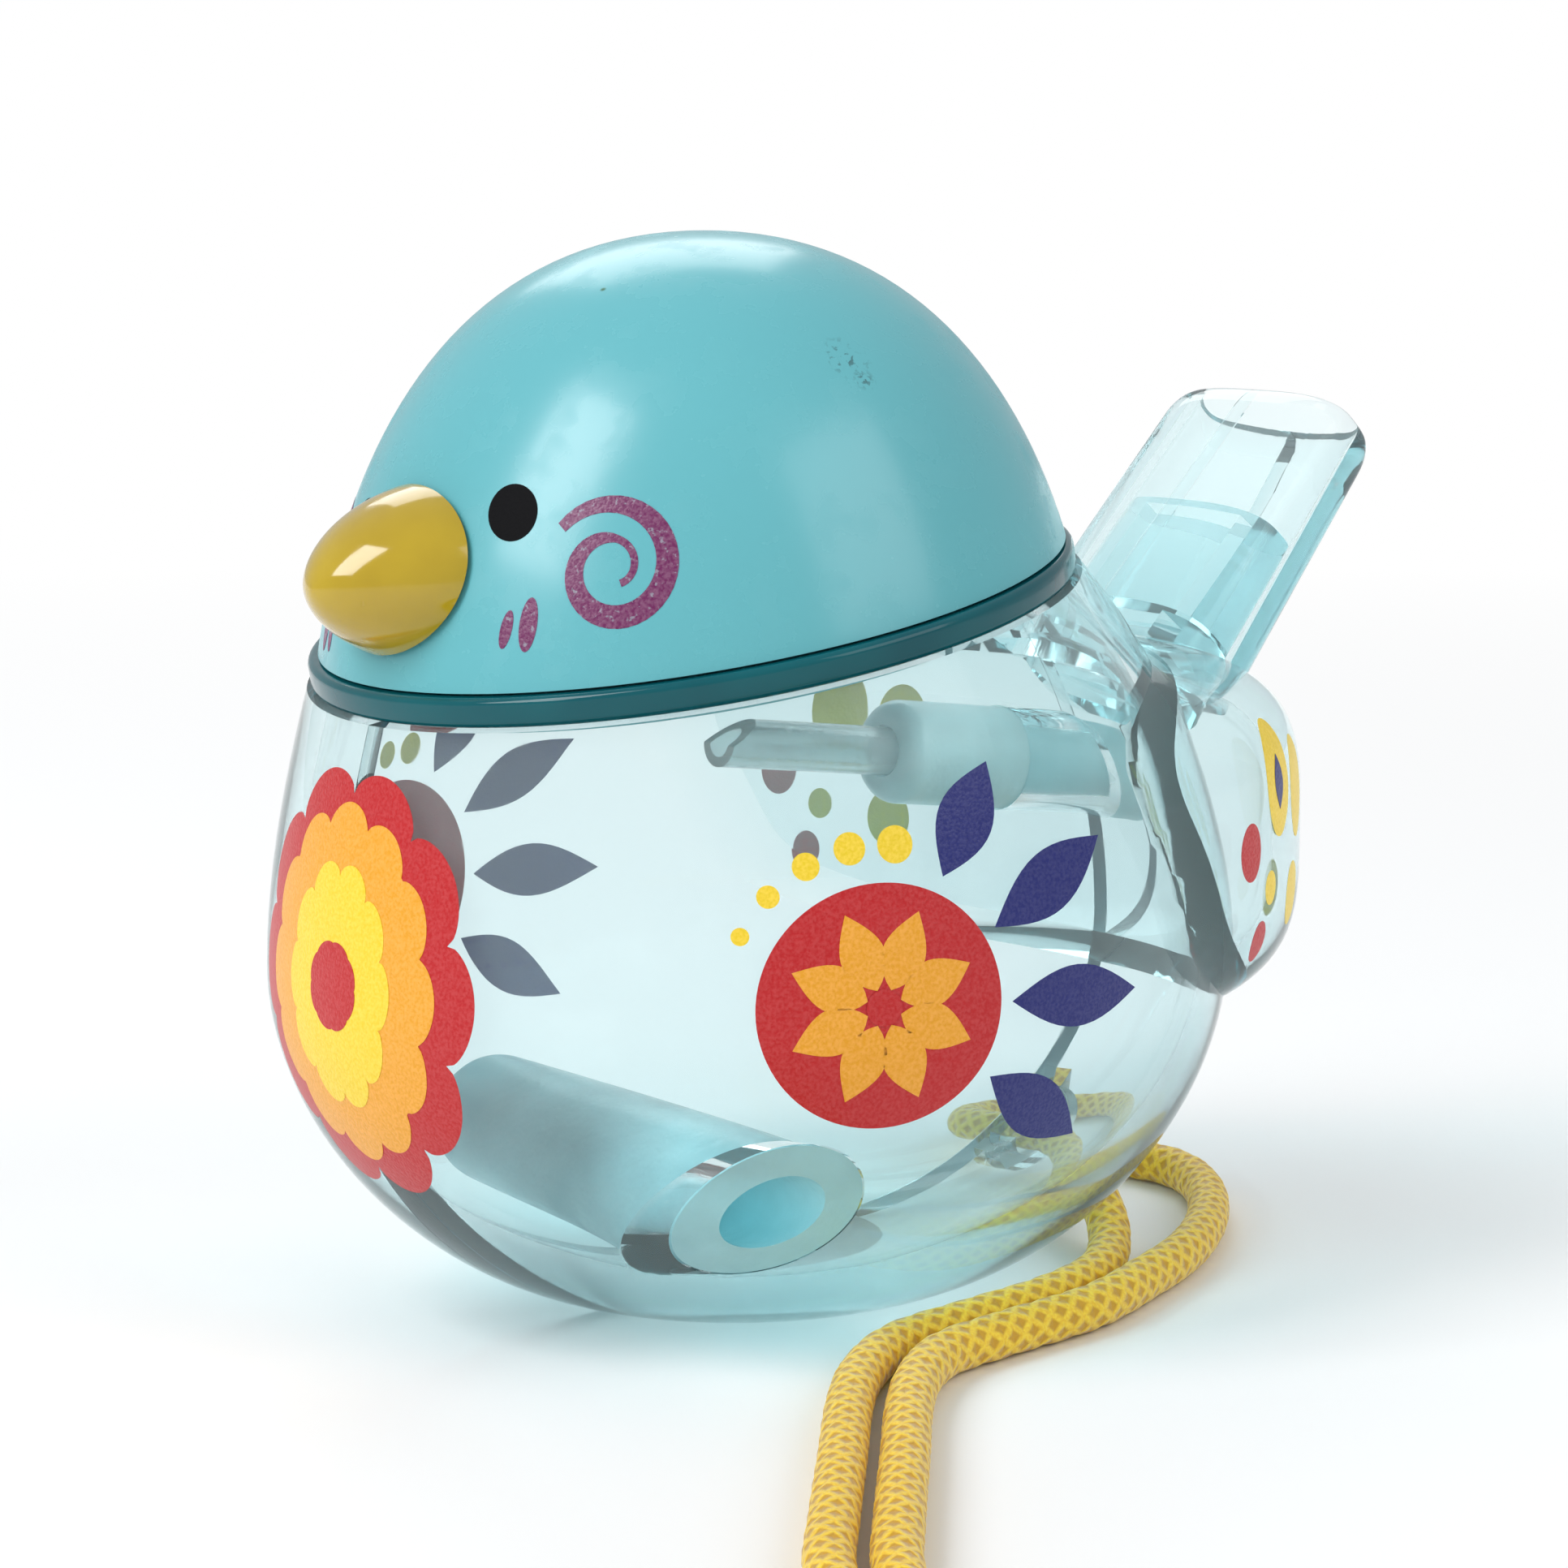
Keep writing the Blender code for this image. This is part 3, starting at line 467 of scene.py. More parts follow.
def frosted_plastic(name, colour, roughness, clearness):
    """Half-clear moulded plastic with a faint cloud in it and a matt, slightly rippled skin."""
    paint = Paint(name)
    cloud = paint.noise(160.0, 3.0)
    deep = tuple(channel * 0.80 for channel in colour)
    tint = paint.blend(paint.span(cloud, 0.35, 0.65, 0.0, 1.0), deep, colour)
    skin = paint.bump(paint.noise(1400.0, 3.0), 0.05 * MM)
    body = paint.shader(Base_Color=tint, Roughness=roughness, IOR=1.45, Transmission_Weight=clearness,
                        Normal=skin)
    lamps_through = paint.node("ShaderNodeBsdfTransparent", Color=(0.62, 0.82, 0.84)).outputs["BSDF"]
    path = paint.node("ShaderNodeLightPath").outputs["Is Shadow Ray"]
    mix = paint.node("ShaderNodeMixShader", Fac=path)
    paint.set(mix.inputs[1], body)
    paint.set(mix.inputs[2], lamps_through)
    return paint.finish(mix.outputs["Shader"])


def quarter(radius, steps=8):
    """Across and along shares of a rounded edge, from its side to its end."""
    angles = [pi / 2 * i / steps for i in range(steps + 1)]
    return [(radius * (1 - cos(angle)), radius * (1 - sin(angle))) for angle in angles]


barrel_plastic = frosted_plastic("barrel_plastic", (0.60, 0.86, 0.88), roughness=0.30, clearness=0.40)
radius = BARREL_DIAMETER / 2
bore = AIR_TUBE_DIAMETER / 2 + CLOSE_FIT
profile = [(bore, 0.0)] + [(radius - across, along) for across, along in reversed(quarter(BARREL_SHOULDER))]
profile += [(radius, BARREL_LENGTH), (bore, BARREL_LENGTH)]
smooth_piece(turned("barrel", profile, barrel_frame), barrel_plastic, "frosted_pipe", "whistle_barrel")
tube_plastic = frosted_plastic("tube_plastic", (0.72, 0.88, 0.89), roughness=0.14, clearness=0.8)
radius, bore = AIR_TUBE_DIAMETER / 2, AIR_TUBE_BORE / 2
profile = [(bore, AIR_TUBE_SEAT), (radius, AIR_TUBE_SEAT), (radius, -AIR_TUBE_REACH), (bore, -AIR_TUBE_REACH)]
air_tube = turned("thin_tube", profile, barrel_frame)
tip_frame = barrel_frame @ Matrix.Translation((0.0, 0.0, -AIR_TUBE_REACH + radius))
slanted = tip_frame @ Matrix.Rotation(AIR_TUBE_SLANT, 4, "Y")
combine(air_tube, box("tip", (-FAR, -FAR, -FAR), (FAR, FAR, -radius / 2), slanted), "DIFFERENCE")
smooth_piece(air_tube, tube_plastic, "clear_inner", "air_tube")


# Side pipe: the stopped pipe low in the belly that makes the note warble. Its mouth is flush
# with the left shell, and its inner end is closed and rounded.
PIPE_BORE = 4.6 * MM
PIPE_END_ROUND = 1.6 * MM

pipe_plastic = frosted_plastic("pipe_plastic", (0.42, 0.72, 0.77), roughness=0.26, clearness=0.30)
radius, bore = PIPE_DIAMETER / 2, PIPE_BORE / 2
profile = [(bore, FAR), (radius, FAR)]
profile += [(radius - across, along - PIPE_END_Y) for across, along in quarter(PIPE_END_ROUND)]
profile += [(0.0, -PIPE_END_Y), (0.0, -PIPE_END_Y + radius - bore), (bore, -PIPE_END_Y + radius - bore)]
side_pipe = turned("belly_pipe", profile, pipe_frame)
combine(side_pipe, loft("belly", bowl_rings(0.0, 0.0)), "INTERSECT")
smooth_piece(side_pipe, pipe_plastic, "frosted_pipe", "side_pipe")


# Neck ring: a narrow band of darker see-through teal plastic between the body's rim and the head.
RING_HEIGHT = 1.3 * MM
RING_PROUD = -0.3 * MM
RING_ROUND = 0.4 * MM


def ring_finish():
    paint = Paint("ring_plastic")
    drift = paint.span(paint.noise(120.0, 2.0), 0.3, 0.7, 0.0, 1.0)
    colour = paint.blend(drift, (0.001, 0.075, 0.095), (0.003, 0.11, 0.13))
    rough = paint.span(paint.noise(700.0, 3.0), 0.4, 0.75, 0.08, 0.22)
    return paint.finish(paint.shader(Base_Color=colour, Roughness=rough, Specular_IOR_Level=0.25,
                                     Coat_Weight=0.1))


low, high = CLOSE_FIT, FIT + RING_HEIGHT + FIT / 2
outer, inner = NECK_RADIUS + RING_PROUD, NECK_RADIUS - SHELL_WALL
profile = [(inner, high)] + [(outer - along, high - across) for across, along in quarter(RING_ROUND)]
profile += [(outer - across, low + along) for across, along in quarter(RING_ROUND)] + [(inner, low)]
smooth_piece(turned("neck_band", profile, neck_frame(), 160), ring_finish(), "ring", "neck_ring")


# Head cap: an opaque turquoise dome, moulded hollow, with a skirt that plugs into the neck.
# Its gloss is lightly rubbed, with a scuff on the crown's left side and one green speck.
HEAD_X = -10.2 * MM
HEAD_WALL = 1.5 * MM
HEAD_CURVE = [(0.0, 61.6), (14.4, 61.6), (21.3, 49.0), (22.6, 34.0)]
SKIRT_DEPTH = 0.6 * MM
SKIRT_WALL = 1.3 * MM
SKIRT_OVERLAP = 1.2 * MM
SCUFF = Vector((-11.7, -15.1, 55.2)) * MM
LOW_SCUFF = Vector((-11.2, -15.9, 53.9)) * MM
GREEN_SPECK = Vector((-20.2, -4.2, 58.6)) * MM
BEAK_STEM_DIAMETER = 4.0 * MM
BEAK_STEM_DEPTH = 4.0 * MM
BEAK_LENGTH = 8.2 * MM
BEAK_Z = 43.2 * MM
BEAK_TIP_X = -36.5 * MM
BEAK_DROOP = radians(4.0)
head_frame = Matrix.Translation((HEAD_X, 0.0, 0.0))
beak_frame = (Matrix.Translation((BEAK_TIP_X, 0.0, BEAK_Z - BEAK_LENGTH * sin(BEAK_DROOP)))
              @ Matrix.Rotation(pi / 2 - BEAK_DROOP, 4, "Y"))


def dome_point(share, inset):
    """Point of the head's profile, from the crown (0) to below the rim (1), moved in from the outside."""
    a, b, c, d = [Vector(corner) * MM for corner in HEAD_CURVE]
    rest = 1 - share
    point = rest ** 3 * a + 3 * rest ** 2 * share * b + 3 * rest * share ** 2 * c + share ** 3 * d
    slope = (rest ** 2 * (b - a) + 2 * rest * share * (c - b) + share ** 2 * (d - c)).normalized()
    return max(point.x + slope.y * inset, 0.0), point.y - slope.x * inset


def dome_profile(outset, wall, steps=40):
    outer = [dome_point(i / steps, -outset) for i in range(steps + 1)]
    if wall is None:
        return outer + [(0.0, outer[-1][1])]
    return outer + [dome_point(1 - i / steps, wall) for i in range(steps + 1)]


def head_finish():
    paint = Paint("head_plastic")
    drift = paint.span(paint.noise(35.0, 2.0), 0.3, 0.7, 0.0, 1.0)
    colour = paint.blend(drift, (0.108, 0.41, 0.46), (0.122, 0.44, 0.49))
    scuff = paint.math("MULTIPLY", paint.near(SCUFF, 0.3 * MM, 1.4 * MM),
                       paint.span(paint.noise(2600.0, 4.0), 0.58, 0.63, 0.0, 1.0))
    low_scuff = paint.math("MULTIPLY", paint.near(LOW_SCUFF, 0.1 * MM, 0.7 * MM),
                           paint.span(paint.noise(3300.0, 3.0), 0.52, 0.57, 0.0, 1.0))
    marks = paint.math("MAXIMUM", scuff, low_scuff)
    colour = paint.blend(paint.math("MULTIPLY", marks, 0.85), colour, (0.035, 0.10, 0.11))
    colour = paint.blend(paint.near(GREEN_SPECK, 0.08 * MM, 0.14 * MM), colour, (0.01, 0.12, 0.05))
    rubbed = paint.span(paint.noise(420.0, 4.0), 0.5, 0.75, 0.24, 0.40)
    skin = paint.bump(paint.noise(45.0, 1.0), 0.12 * MM)
    return paint.finish(paint.shader(Base_Color=colour, Roughness=rubbed, IOR=1.5, Normal=skin,
                                     Coat_Weight=0.12, Coat_Roughness=0.12))


head = turned("head", dome_profile(0.0, HEAD_WALL), head_frame, 160, closed=False)
rim = RING_HEIGHT + 2 * FIT
combine(head, box("below", (-FAR, -FAR, -FAR), (FAR, FAR, rim), neck_frame()), "DIFFERENCE")
outer = NECK_RADIUS - SHELL_WALL - FIT
inner = outer - SKIRT_WALL
top = rim + SKIRT_OVERLAP
skirt = [(inner, top), (outer, top), (outer, -SKIRT_DEPTH), (inner, -SKIRT_DEPTH)]
combine(head, turned("skirt", skirt, neck_frame(), 160), "UNION")
beak_hole = rod("beak_hole", BEAK_STEM_DIAMETER / 2 + FIT, 0.0, BEAK_LENGTH + BEAK_STEM_DEPTH + HEAD_WALL,
                beak_frame)
combine(head, beak_hole, "DIFFERENCE")
smooth_piece(head, head_finish(), "head", "head_cap")


# Beak: an egg-shaped ochre yellow moulding on a stem through the head's wall.
BEAK_HALF_WIDTH = 6.4 * MM
BEAK_HALF_HEIGHT = 5.1 * MM
BEAK_POWER = 1.7


def beak_finish():
    paint = Paint("beak_plastic")
    drift = paint.span(paint.noise(180.0, 3.0), 0.3, 0.7, 0.0, 1.0)
    colour = paint.blend(drift, (0.40, 0.265, 0.006), (0.48, 0.33, 0.01))
    rough = paint.span(paint.noise(800.0, 4.0), 0.45, 0.8, 0.10, 0.30)
    skin = paint.bump(paint.noise(300.0, 2.0), 0.06 * MM)
    return paint.finish(paint.shader(Base_Color=colour, Roughness=rough, Normal=skin, Coat_Weight=0.5,
                                     Coat_Roughness=0.06))


steps = 32
profile = []
for i in range(steps + 1):
    back = BEAK_LENGTH * (1 - cos(pi / 2 * i / steps))
    share = 1 - back / BEAK_LENGTH
    profile.append((BEAK_HALF_WIDTH * (1 - share ** BEAK_POWER) ** (1 / BEAK_POWER), back))
profile += [(BEAK_HALF_WIDTH, BEAK_LENGTH + HEAD_WALL), (0.0, BEAK_LENGTH + HEAD_WALL)]
flatten = Matrix.Diagonal((BEAK_HALF_HEIGHT / BEAK_HALF_WIDTH, 1.0, 1.0, 1.0))
beak = turned("beak_shape", profile, beak_frame @ flatten, 96, closed=False)
combine(beak, turned("seat", dome_profile(FIT, None), head_frame, 160, closed=False), "DIFFERENCE")
stem = rod("stem", BEAK_STEM_DIAMETER / 2, BEAK_LENGTH / 2, BEAK_LENGTH + BEAK_STEM_DEPTH, beak_frame)
combine(beak, stem, "UNION")
smooth_piece(beak, beak_finish(), "beak", "beak")


# Prints: films of ink, pad-printed on the outside of the shells and the head in flat colours.
# The ink is slightly grainy.
INK_THICKNESS = 0.015 * MM
INK_SPACING = 0.55 * MM


def skin_of(shape):
    """A tree of the shape's faces for laying print on; the shape is used up."""
    tree = BVHTree.FromObject(shape, bpy.context.evaluated_depsgraph_get())
    bpy.data.objects.remove(shape)
    return tree


def ink(name, colour, grain=0.5, worn=0.0):
    """Opaque print ink with a fine grain of lighter and darker dots; without grain it is matt."""
    paint = Paint(name)
    dots = paint.span(paint.noise(5200.0, 2.0), 0.35, 0.65, 0.0, 1.0)
    dark = tuple(channel * (1 - 0.35 * grain) for channel in colour)
    light = tuple(channel + (0.95 - channel) * 0.16 * grain for channel in colour)
    tint = paint.blend(dots, dark, light)
    if worn:
        gaps = paint.span(paint.noise(3000.0, 5.0), 0.60, 0.66, 0.0, worn)
        tint = paint.blend(gaps, tint, (0.45, 0.66, 0.70))
    skin = paint.bump(dots, 0.012 * MM)
    return paint.finish(paint.shader(Base_Color=tint, Roughness=0.34 if grain else 0.6, Normal=skin,
                                     Specular_IOR_Level=0.4 if grain else 0.05))


def filled(outline, spacing):
    """Points and triangles that fill an outline, with inner points on a grid."""
    count = len(outline)
    xs = [p[0] for p in outline]
    ys = [p[1] for p in outline]
    points = [Vector(p) for p in outline]
    for i in range(int((max(xs) - min(xs)) / spacing) + 1):
        for j in range(int((max(ys) - min(ys)) / spacing) + 1):
            points.append(Vector((min(xs) + (i + 0.37) * spacing, min(ys) + (j + 0.41) * spacing)))
    edges = [(i, (i + 1) % count) for i in range(count)]
    found = delaunay_2d_cdt(points, edges, [], 1, 0.000001)
    return found[0], found[2]


class Film:
    """One print: outlines filled with ink and laid on a skin, seen from a middle point outwards."""

    def __init__(self, name, skin, middle, outward, upward=Vector((0.0, 0.0, 1.0))):
        self.name = name
        self.skin = skin
        self.middle = Vector(middle)
        self.out = Vector(outward).normalized()
        self.right = upward.cross(self.out).normalized()
        self.up = self.out.cross(self.right)
        self.bm = bmesh.new()
        self.inks = []

    def laid(self, point, lift):
        start = self.middle + self.right * point[0] + self.up * point[1] + self.out * 0.02
        place, normal, _, _ = self.skin.ray_cast(start, -self.out)
        if normal.dot(self.out) < 0:
            normal = -normal
        return place + normal * lift

    def field(self, outline, material, layer=0):
        """Fill one outline, in metres about the middle point, as a thin closed film."""
        if material not in self.inks:
            self.inks.append(material)
        slot = self.inks.index(material)
        points, faces = filled(outline, INK_SPACING)
        low = (layer * 1.4 + 0.4) * INK_THICKNESS
        lifts = (low, low + INK_THICKNESS)
        skins = [[self.bm.verts.new(self.laid(p, lift)) for p in points] for lift in lifts]
        used = {}
        for face in faces:
            top = self.bm.faces.new([skins[1][i] for i in face])
            under = self.bm.faces.new([skins[0][i] for i in reversed(face)])
            top.material_index = under.material_index = slot
            for i, j in zip(face, face[1:] + face[:1]):
                used[(i, j)] = used.get((i, j), 0) + 1
        for i, j in [edge for edge in used if (edge[1], edge[0]) not in used]:
            side = self.bm.faces.new((skins[1][j], skins[1][i], skins[0][i], skins[0][j]))
            side.material_index = slot

    def done(self):
        loose = [vert for vert in self.bm.verts if not vert.link_faces]
        bmesh.ops.delete(self.bm, geom=loose, context="VERTS")
        mesh = bpy.data.meshes.new(self.name)
        self.bm.to_mesh(mesh)
        self.bm.free()
        obj = linked(self.name, mesh)
        for material in self.inks:
            mesh.materials.append(material)
        mesh.shade_smooth()
        mesh.set_sharp_from_angle(angle=radians(40))
        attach(obj, "root")
        return obj


def oval(x, y, half_width, half_height, turn=0.0, count=40):
    points = []
    for i in range(count):
        a, b = half_width * cos(tau * i / count), half_height * sin(tau * i / count)
        points.append((x + a * cos(turn) - b * sin(turn), y + a * sin(turn) + b * cos(turn)))
    return points


def scallops(half_width, half_height, lobes, depth, turn=0.0, count=260):
    """Rounded petals all round an oval; depth is how far the notches between them cut in."""
    points = []
    for i in range(count):
        angle = tau * i / count
        lobe = abs(sin(lobes / 2 * (angle - turn)))
        reach = 1 - depth + depth * lobe ** 0.55
        points.append((half_width * reach * cos(angle), half_height * reach * sin(angle)))
    return points


def petal(x, y, angle, length, width, blunt=0.8, count=28):
    """A leaf from its root outwards, widest past the middle when blunt is over 1."""
    points = []
    for i in range(count):
        t = i / count
        share = 2 * t if t < 0.5 else 2 - 2 * t
        half = width / 2 * sin(pi * share ** blunt) * (1 if t < 0.5 else -1)
        points.append((x + length * share * cos(angle) - half * sin(angle),
                       y + length * share * sin(angle) + half * cos(angle)))
    return points


def ribbon(points, widths):
    """A brush stroke along points, with its width at each."""
    left, right = [], []
    for i, (x, y) in enumerate(points):
        before, after = points[max(i - 1, 0)], points[min(i + 1, len(points) - 1)]
        run = hypot(after[0] - before[0], after[1] - before[1])
        nx, ny = -(after[1] - before[1]) / run, (after[0] - before[0]) / run
        left.append((x + nx * widths[i] / 2, y + ny * widths[i] / 2))
        right.append((x - nx * widths[i] / 2, y - ny * widths[i] / 2))
    return left + right[::-1]


RED = ink("ink_red", (0.52, 0.008, 0.012), 0.2)
GOLD = ink("ink_gold", (0.88, 0.38, 0.015), 0.3)
YELLOW = ink("ink_yellow", (0.93, 0.66, 0.02), 0.3)
NAVY = ink("ink_navy", (0.008, 0.014, 0.16), 0.15)
BLACK = ink("ink_black", (0.006, 0.006, 0.007), 0.0)
PURPLE = ink("ink_purple", (0.16, 0.012, 0.10), 0.4, 0.3)

bowl_surface = skin_of(loft("skin", bowl_rings(0.0, 0.0)))
BREAST_MIDDLE = Vector((-35.5, 0.0, 21.0)) * MM
breast = Film("breast_print", bowl_surface, BREAST_MIDDLE, (-1.0, 0.0, 0.0))
# Each layer of the breast flower: half width and height in mm, petals, notch depth, turn, ink.
BREAST_LAYERS = [(10.5, 12.0, 10, 0.13, 18, RED), (8.1, 10.0, 12, 0.12, 15, GOLD),
                 (5.0, 6.9, 10, 0.13, 18, YELLOW), (2.3, 2.5, 8, 0.06, 0, RED)]
for layer, (half_width, half_height, lobes, depth, turn, colour) in enumerate(BREAST_LAYERS):
    breast.field(scallops(half_width * MM, half_height * MM, lobes, depth, radians(turn)), colour, layer)
breast.done()


def to_side(place, side):
    """A place or direction that is given for the right side, on the side asked for."""
    return Vector((place.x, side * place.y, place.z))


# Wing prints: a gold flower on a red disc, four navy leaves behind it and a row of shrinking
# dots above, in flat ink on each side of the bowl.
WING_MIDDLE = Vector((-16.8, 24.6, 21.4)) * MM
WING_FACING = Vector((-0.34, 0.94, 0.03))
WING_PETALS = 8
PETAL_ROOT = 1.0 * MM
LEAF_ROOT = 7.6 * MM
# Each leaf: its direction in degrees and its length in mm.
LEAVES = [(62, 6.6), (30, 8.4), (-2, 8.6), (-34, 7.4)]
DOT_REACH = 8.6 * MM
DOT_RADIUS = 1.0 * MM
DOT_SHRINK = 0.13 * MM
for side, name in ((-1, "wing_print_left"), (1, "wing_print_right")):
    wing = Film(name, bowl_surface, to_side(WING_MIDDLE, side), to_side(WING_FACING, side))
    wing.field(oval(0.0, 0.0, 6.9 * MM, 6.6 * MM, count=90), RED, 0)
    for i in range(WING_PETALS):
        angle = tau * (i + 0.5) / WING_PETALS
        x, y = PETAL_ROOT * cos(angle), PETAL_ROOT * sin(angle)
        wing.field(petal(x, y, angle, 4.4 * MM, 2.5 * MM, 0.85), GOLD, 1)
    wing.field(oval(0.0, 0.0, 1.0 * MM, 1.0 * MM), RED, 2)
    for turn, length in LEAVES:
        angle = radians(turn) if side < 0 else pi - radians(turn)
        x, y = LEAF_ROOT * cos(angle), LEAF_ROOT * sin(angle)
        wing.field(petal(x, y, angle, length * MM, 3.4 * MM, 1.0), NAVY, 0)
    for i in range(5):
        angle = radians(84 + 17 * i) if side < 0 else pi - radians(84 + 17 * i)
        radius = DOT_RADIUS - DOT_SHRINK * i
        wing.field(oval(DOT_REACH * cos(angle), DOT_REACH * sin(angle), radius, radius), YELLOW, 0)
    wing.done()

# Rump prints: yellow and red spots on each side of the rump chamber, the first with a navy
# leaf in it, in the same flat inks.
RUMP_PRINT_MIDDLE = Vector((16.6, 20.0, 26.3)) * MM
RUMP_PRINT_FACING = Vector((0.51, 0.86, 0.0))
# Each spot: place, half width and half height in mm, ink.
SPOTS = [(-0.8, 4.0, 1.9, 3.4, YELLOW), (3.4, 3.0, 1.7, 3.0, YELLOW), (-5.0, 0.2, 1.2, 1.7, RED),
         (-2.2, -2.2, 0.8, 1.0, YELLOW), (2.4, -3.2, 1.4, 1.9, YELLOW), (-3.2, -5.2, 0.9, 1.2, RED)]
rump_surface = skin_of(rump("skin", 0.0))
for side, name in ((-1, "rump_print_left"), (1, "rump_print_right")):
    spots = Film(name, rump_surface, to_side(RUMP_PRINT_MIDDLE, side), to_side(RUMP_PRINT_FACING, side))
    for x, y, half_width, half_height, colour in SPOTS:
        spots.field(oval(-side * x * MM, y * MM, half_width * MM, half_height * MM), colour, 0)
    spots.field(petal(side * 0.8 * MM, 2.2 * MM, pi / 2, 3.2 * MM, 1.4 * MM, 1.0), NAVY, 1)
    spots.done()

# Face prints: a round black eye, a brushed spiral on the cheek and two short strokes below it.
# The right face's print sits lower and further forward than the left's.
FACE_MIDDLE = Vector((-26.2, 12.8, 44.5)) * MM
FACE_FACING = Vector((-0.78, 0.62, 0.05))
RIGHT_FACE_SHIFT = Vector((-1.2, -1.3, -1.5)) * MM
CURL_OUTER = 3.65 * MM
CURL_INNER = 0.90 * MM
CURL_STEPS = 60
BRUSH_FINE = 0.40 * MM
BRUSH_SWELL = 0.85 * MM
head_surface = skin_of(turned("skin", dome_profile(0.0, None), head_frame, 160, closed=False))


def cheek_curl(flip):
    """Points and widths of the spiral's brush stroke, from its outer end inwards."""
    points, widths = [], []
    for i in range(CURL_STEPS + 1):
        share = i / CURL_STEPS
        angle = radians(145 - 560 * share)
        reach = CURL_OUTER - (CURL_OUTER - CURL_INNER) * share
        points.append((flip * (0.4 * MM + reach * cos(angle)), -0.25 * MM + reach * sin(angle)))
        widths.append(BRUSH_FINE + BRUSH_SWELL * sin(pi * min(1.0, share * 1.25 + 0.06)) ** 0.8)
    return points, widths


for side, name in ((-1, "face_print_left"), (1, "face_print_right")):
    shift = RIGHT_FACE_SHIFT if side > 0 else Vector()
    face = Film(name, head_surface, to_side(FACE_MIDDLE, side) + shift, to_side(FACE_FACING, side))
    flip = -side
    face.field(oval(flip * -5.6 * MM, 2.55 * MM, 1.5 * MM, 1.52 * MM), BLACK, 0)
    face.field(ribbon(*cheek_curl(flip)), PURPLE, 0)
    face.field(oval(flip * -5.4 * MM, -3.6 * MM, 0.35 * MM, 1.05 * MM, flip * radians(-12)), PURPLE, 0)
    face.field(oval(flip * -4.1 * MM, -3.3 * MM, 0.52 * MM, 1.45 * MM, flip * radians(-6)), PURPLE, 0)
    face.done()


# Neck cord: a doubled yellow braid through the lug. Both strands lie on the surface beside the
# belly, and the rest of their length is wound flat, tied, with the two ends knotted together.
CORD_DIAMETER = 2.6 * MM
BRAID_SIDES = 20
BRAID_STEP = 0.30 * MM
BRAID_PITCH = 5.2 * MM
BRAID_RELIEF = 0.05 * MM
COIL_MIDDLE = Vector((-16.0, -97.0, 0.0)) * MM
COIL_START = 200
COIL_TURN_IN = 5.2 * MM
COIL_FLAT = 815
COIL_END = 1130
KNOT_MIDDLE = Vector((-16.0, -105.1, 6.4)) * MM
NEAR_STRAND = [(15.5, -0.2, 3.9), (15.4, -3.2, 3.8), (14.4, -6.9, 2.9), (11.6, -10.9, 1.6),
               (7.0, -14.9, 1.35), (1.0, -17.5, 1.35), (-6.2, -18.9, 1.35), (-12.2, -20.2, 1.35),
               (-17.1, -23.4, 1.35), (-21.6, -27.9, 1.35), (-27.5, -34.8, 1.35), (-34.0, -42.4, 1.35),
               (-39.2, -48.7, 1.35), (-42.7, -55.0, 1.35), (-44.6, -63.5, 1.35), (-44.7, -73.5, 1.35),
               (-42.9, -84.0, 1.35), (-39.25, -93.2, 1.35)]
FAR_STRAND = [(15.5, 0.2, 3.9), (15.5, 3.8, 3.85), (16.4, 7.1, 3.4), (18.8, 9.5, 2.8),
              (22.1, 10.4, 2.2), (25.4, 9.5, 1.7), (27.8, 7.1, 1.4), (28.7, 3.8, 1.35),
              (28.2, 0.4, 1.35), (25.8, -3.9, 1.35), (22.3, -8.0, 1.35), (18.2, -11.7, 1.35),
              (13.6, -14.9, 1.35), (8.6, -17.5, 1.35), (1.9, -20.5, 1.35), (-5.6, -21.9, 1.35),
              (-11.0, -23.1, 1.35), (-15.1, -25.8, 1.35), (-19.3, -30.0, 1.35), (-25.1, -36.8, 1.35),
              (-31.6, -44.4, 1.35), (-36.6, -50.5, 1.35), (-39.8, -56.1, 1.35), (-41.5, -63.8, 1.35),
              (-41.6, -73.2, 1.35), (-40.0, -82.6, 1.35), (-38.2, -88.0, 1.35)]


def smooth_route(points, step):
    """Points along one smooth curve through the route's own points, about a step apart."""
    ends = [2 * points[0] - points[1]] + points + [2 * points[-1] - points[-2]]
    line = []
    for a, b, c, d in zip(ends, ends[1:], ends[2:], ends[3:]):
        count = max(1, round((c - b).length / step))
        for i in range(count):
            t = i / count
            line.append(0.5 * (2 * b + (c - a) * t + (2 * a - 5 * b + 4 * c - d) * t ** 2
                               + (3 * b - a - 3 * c + d) * t ** 3))
    return line + [points[-1]]


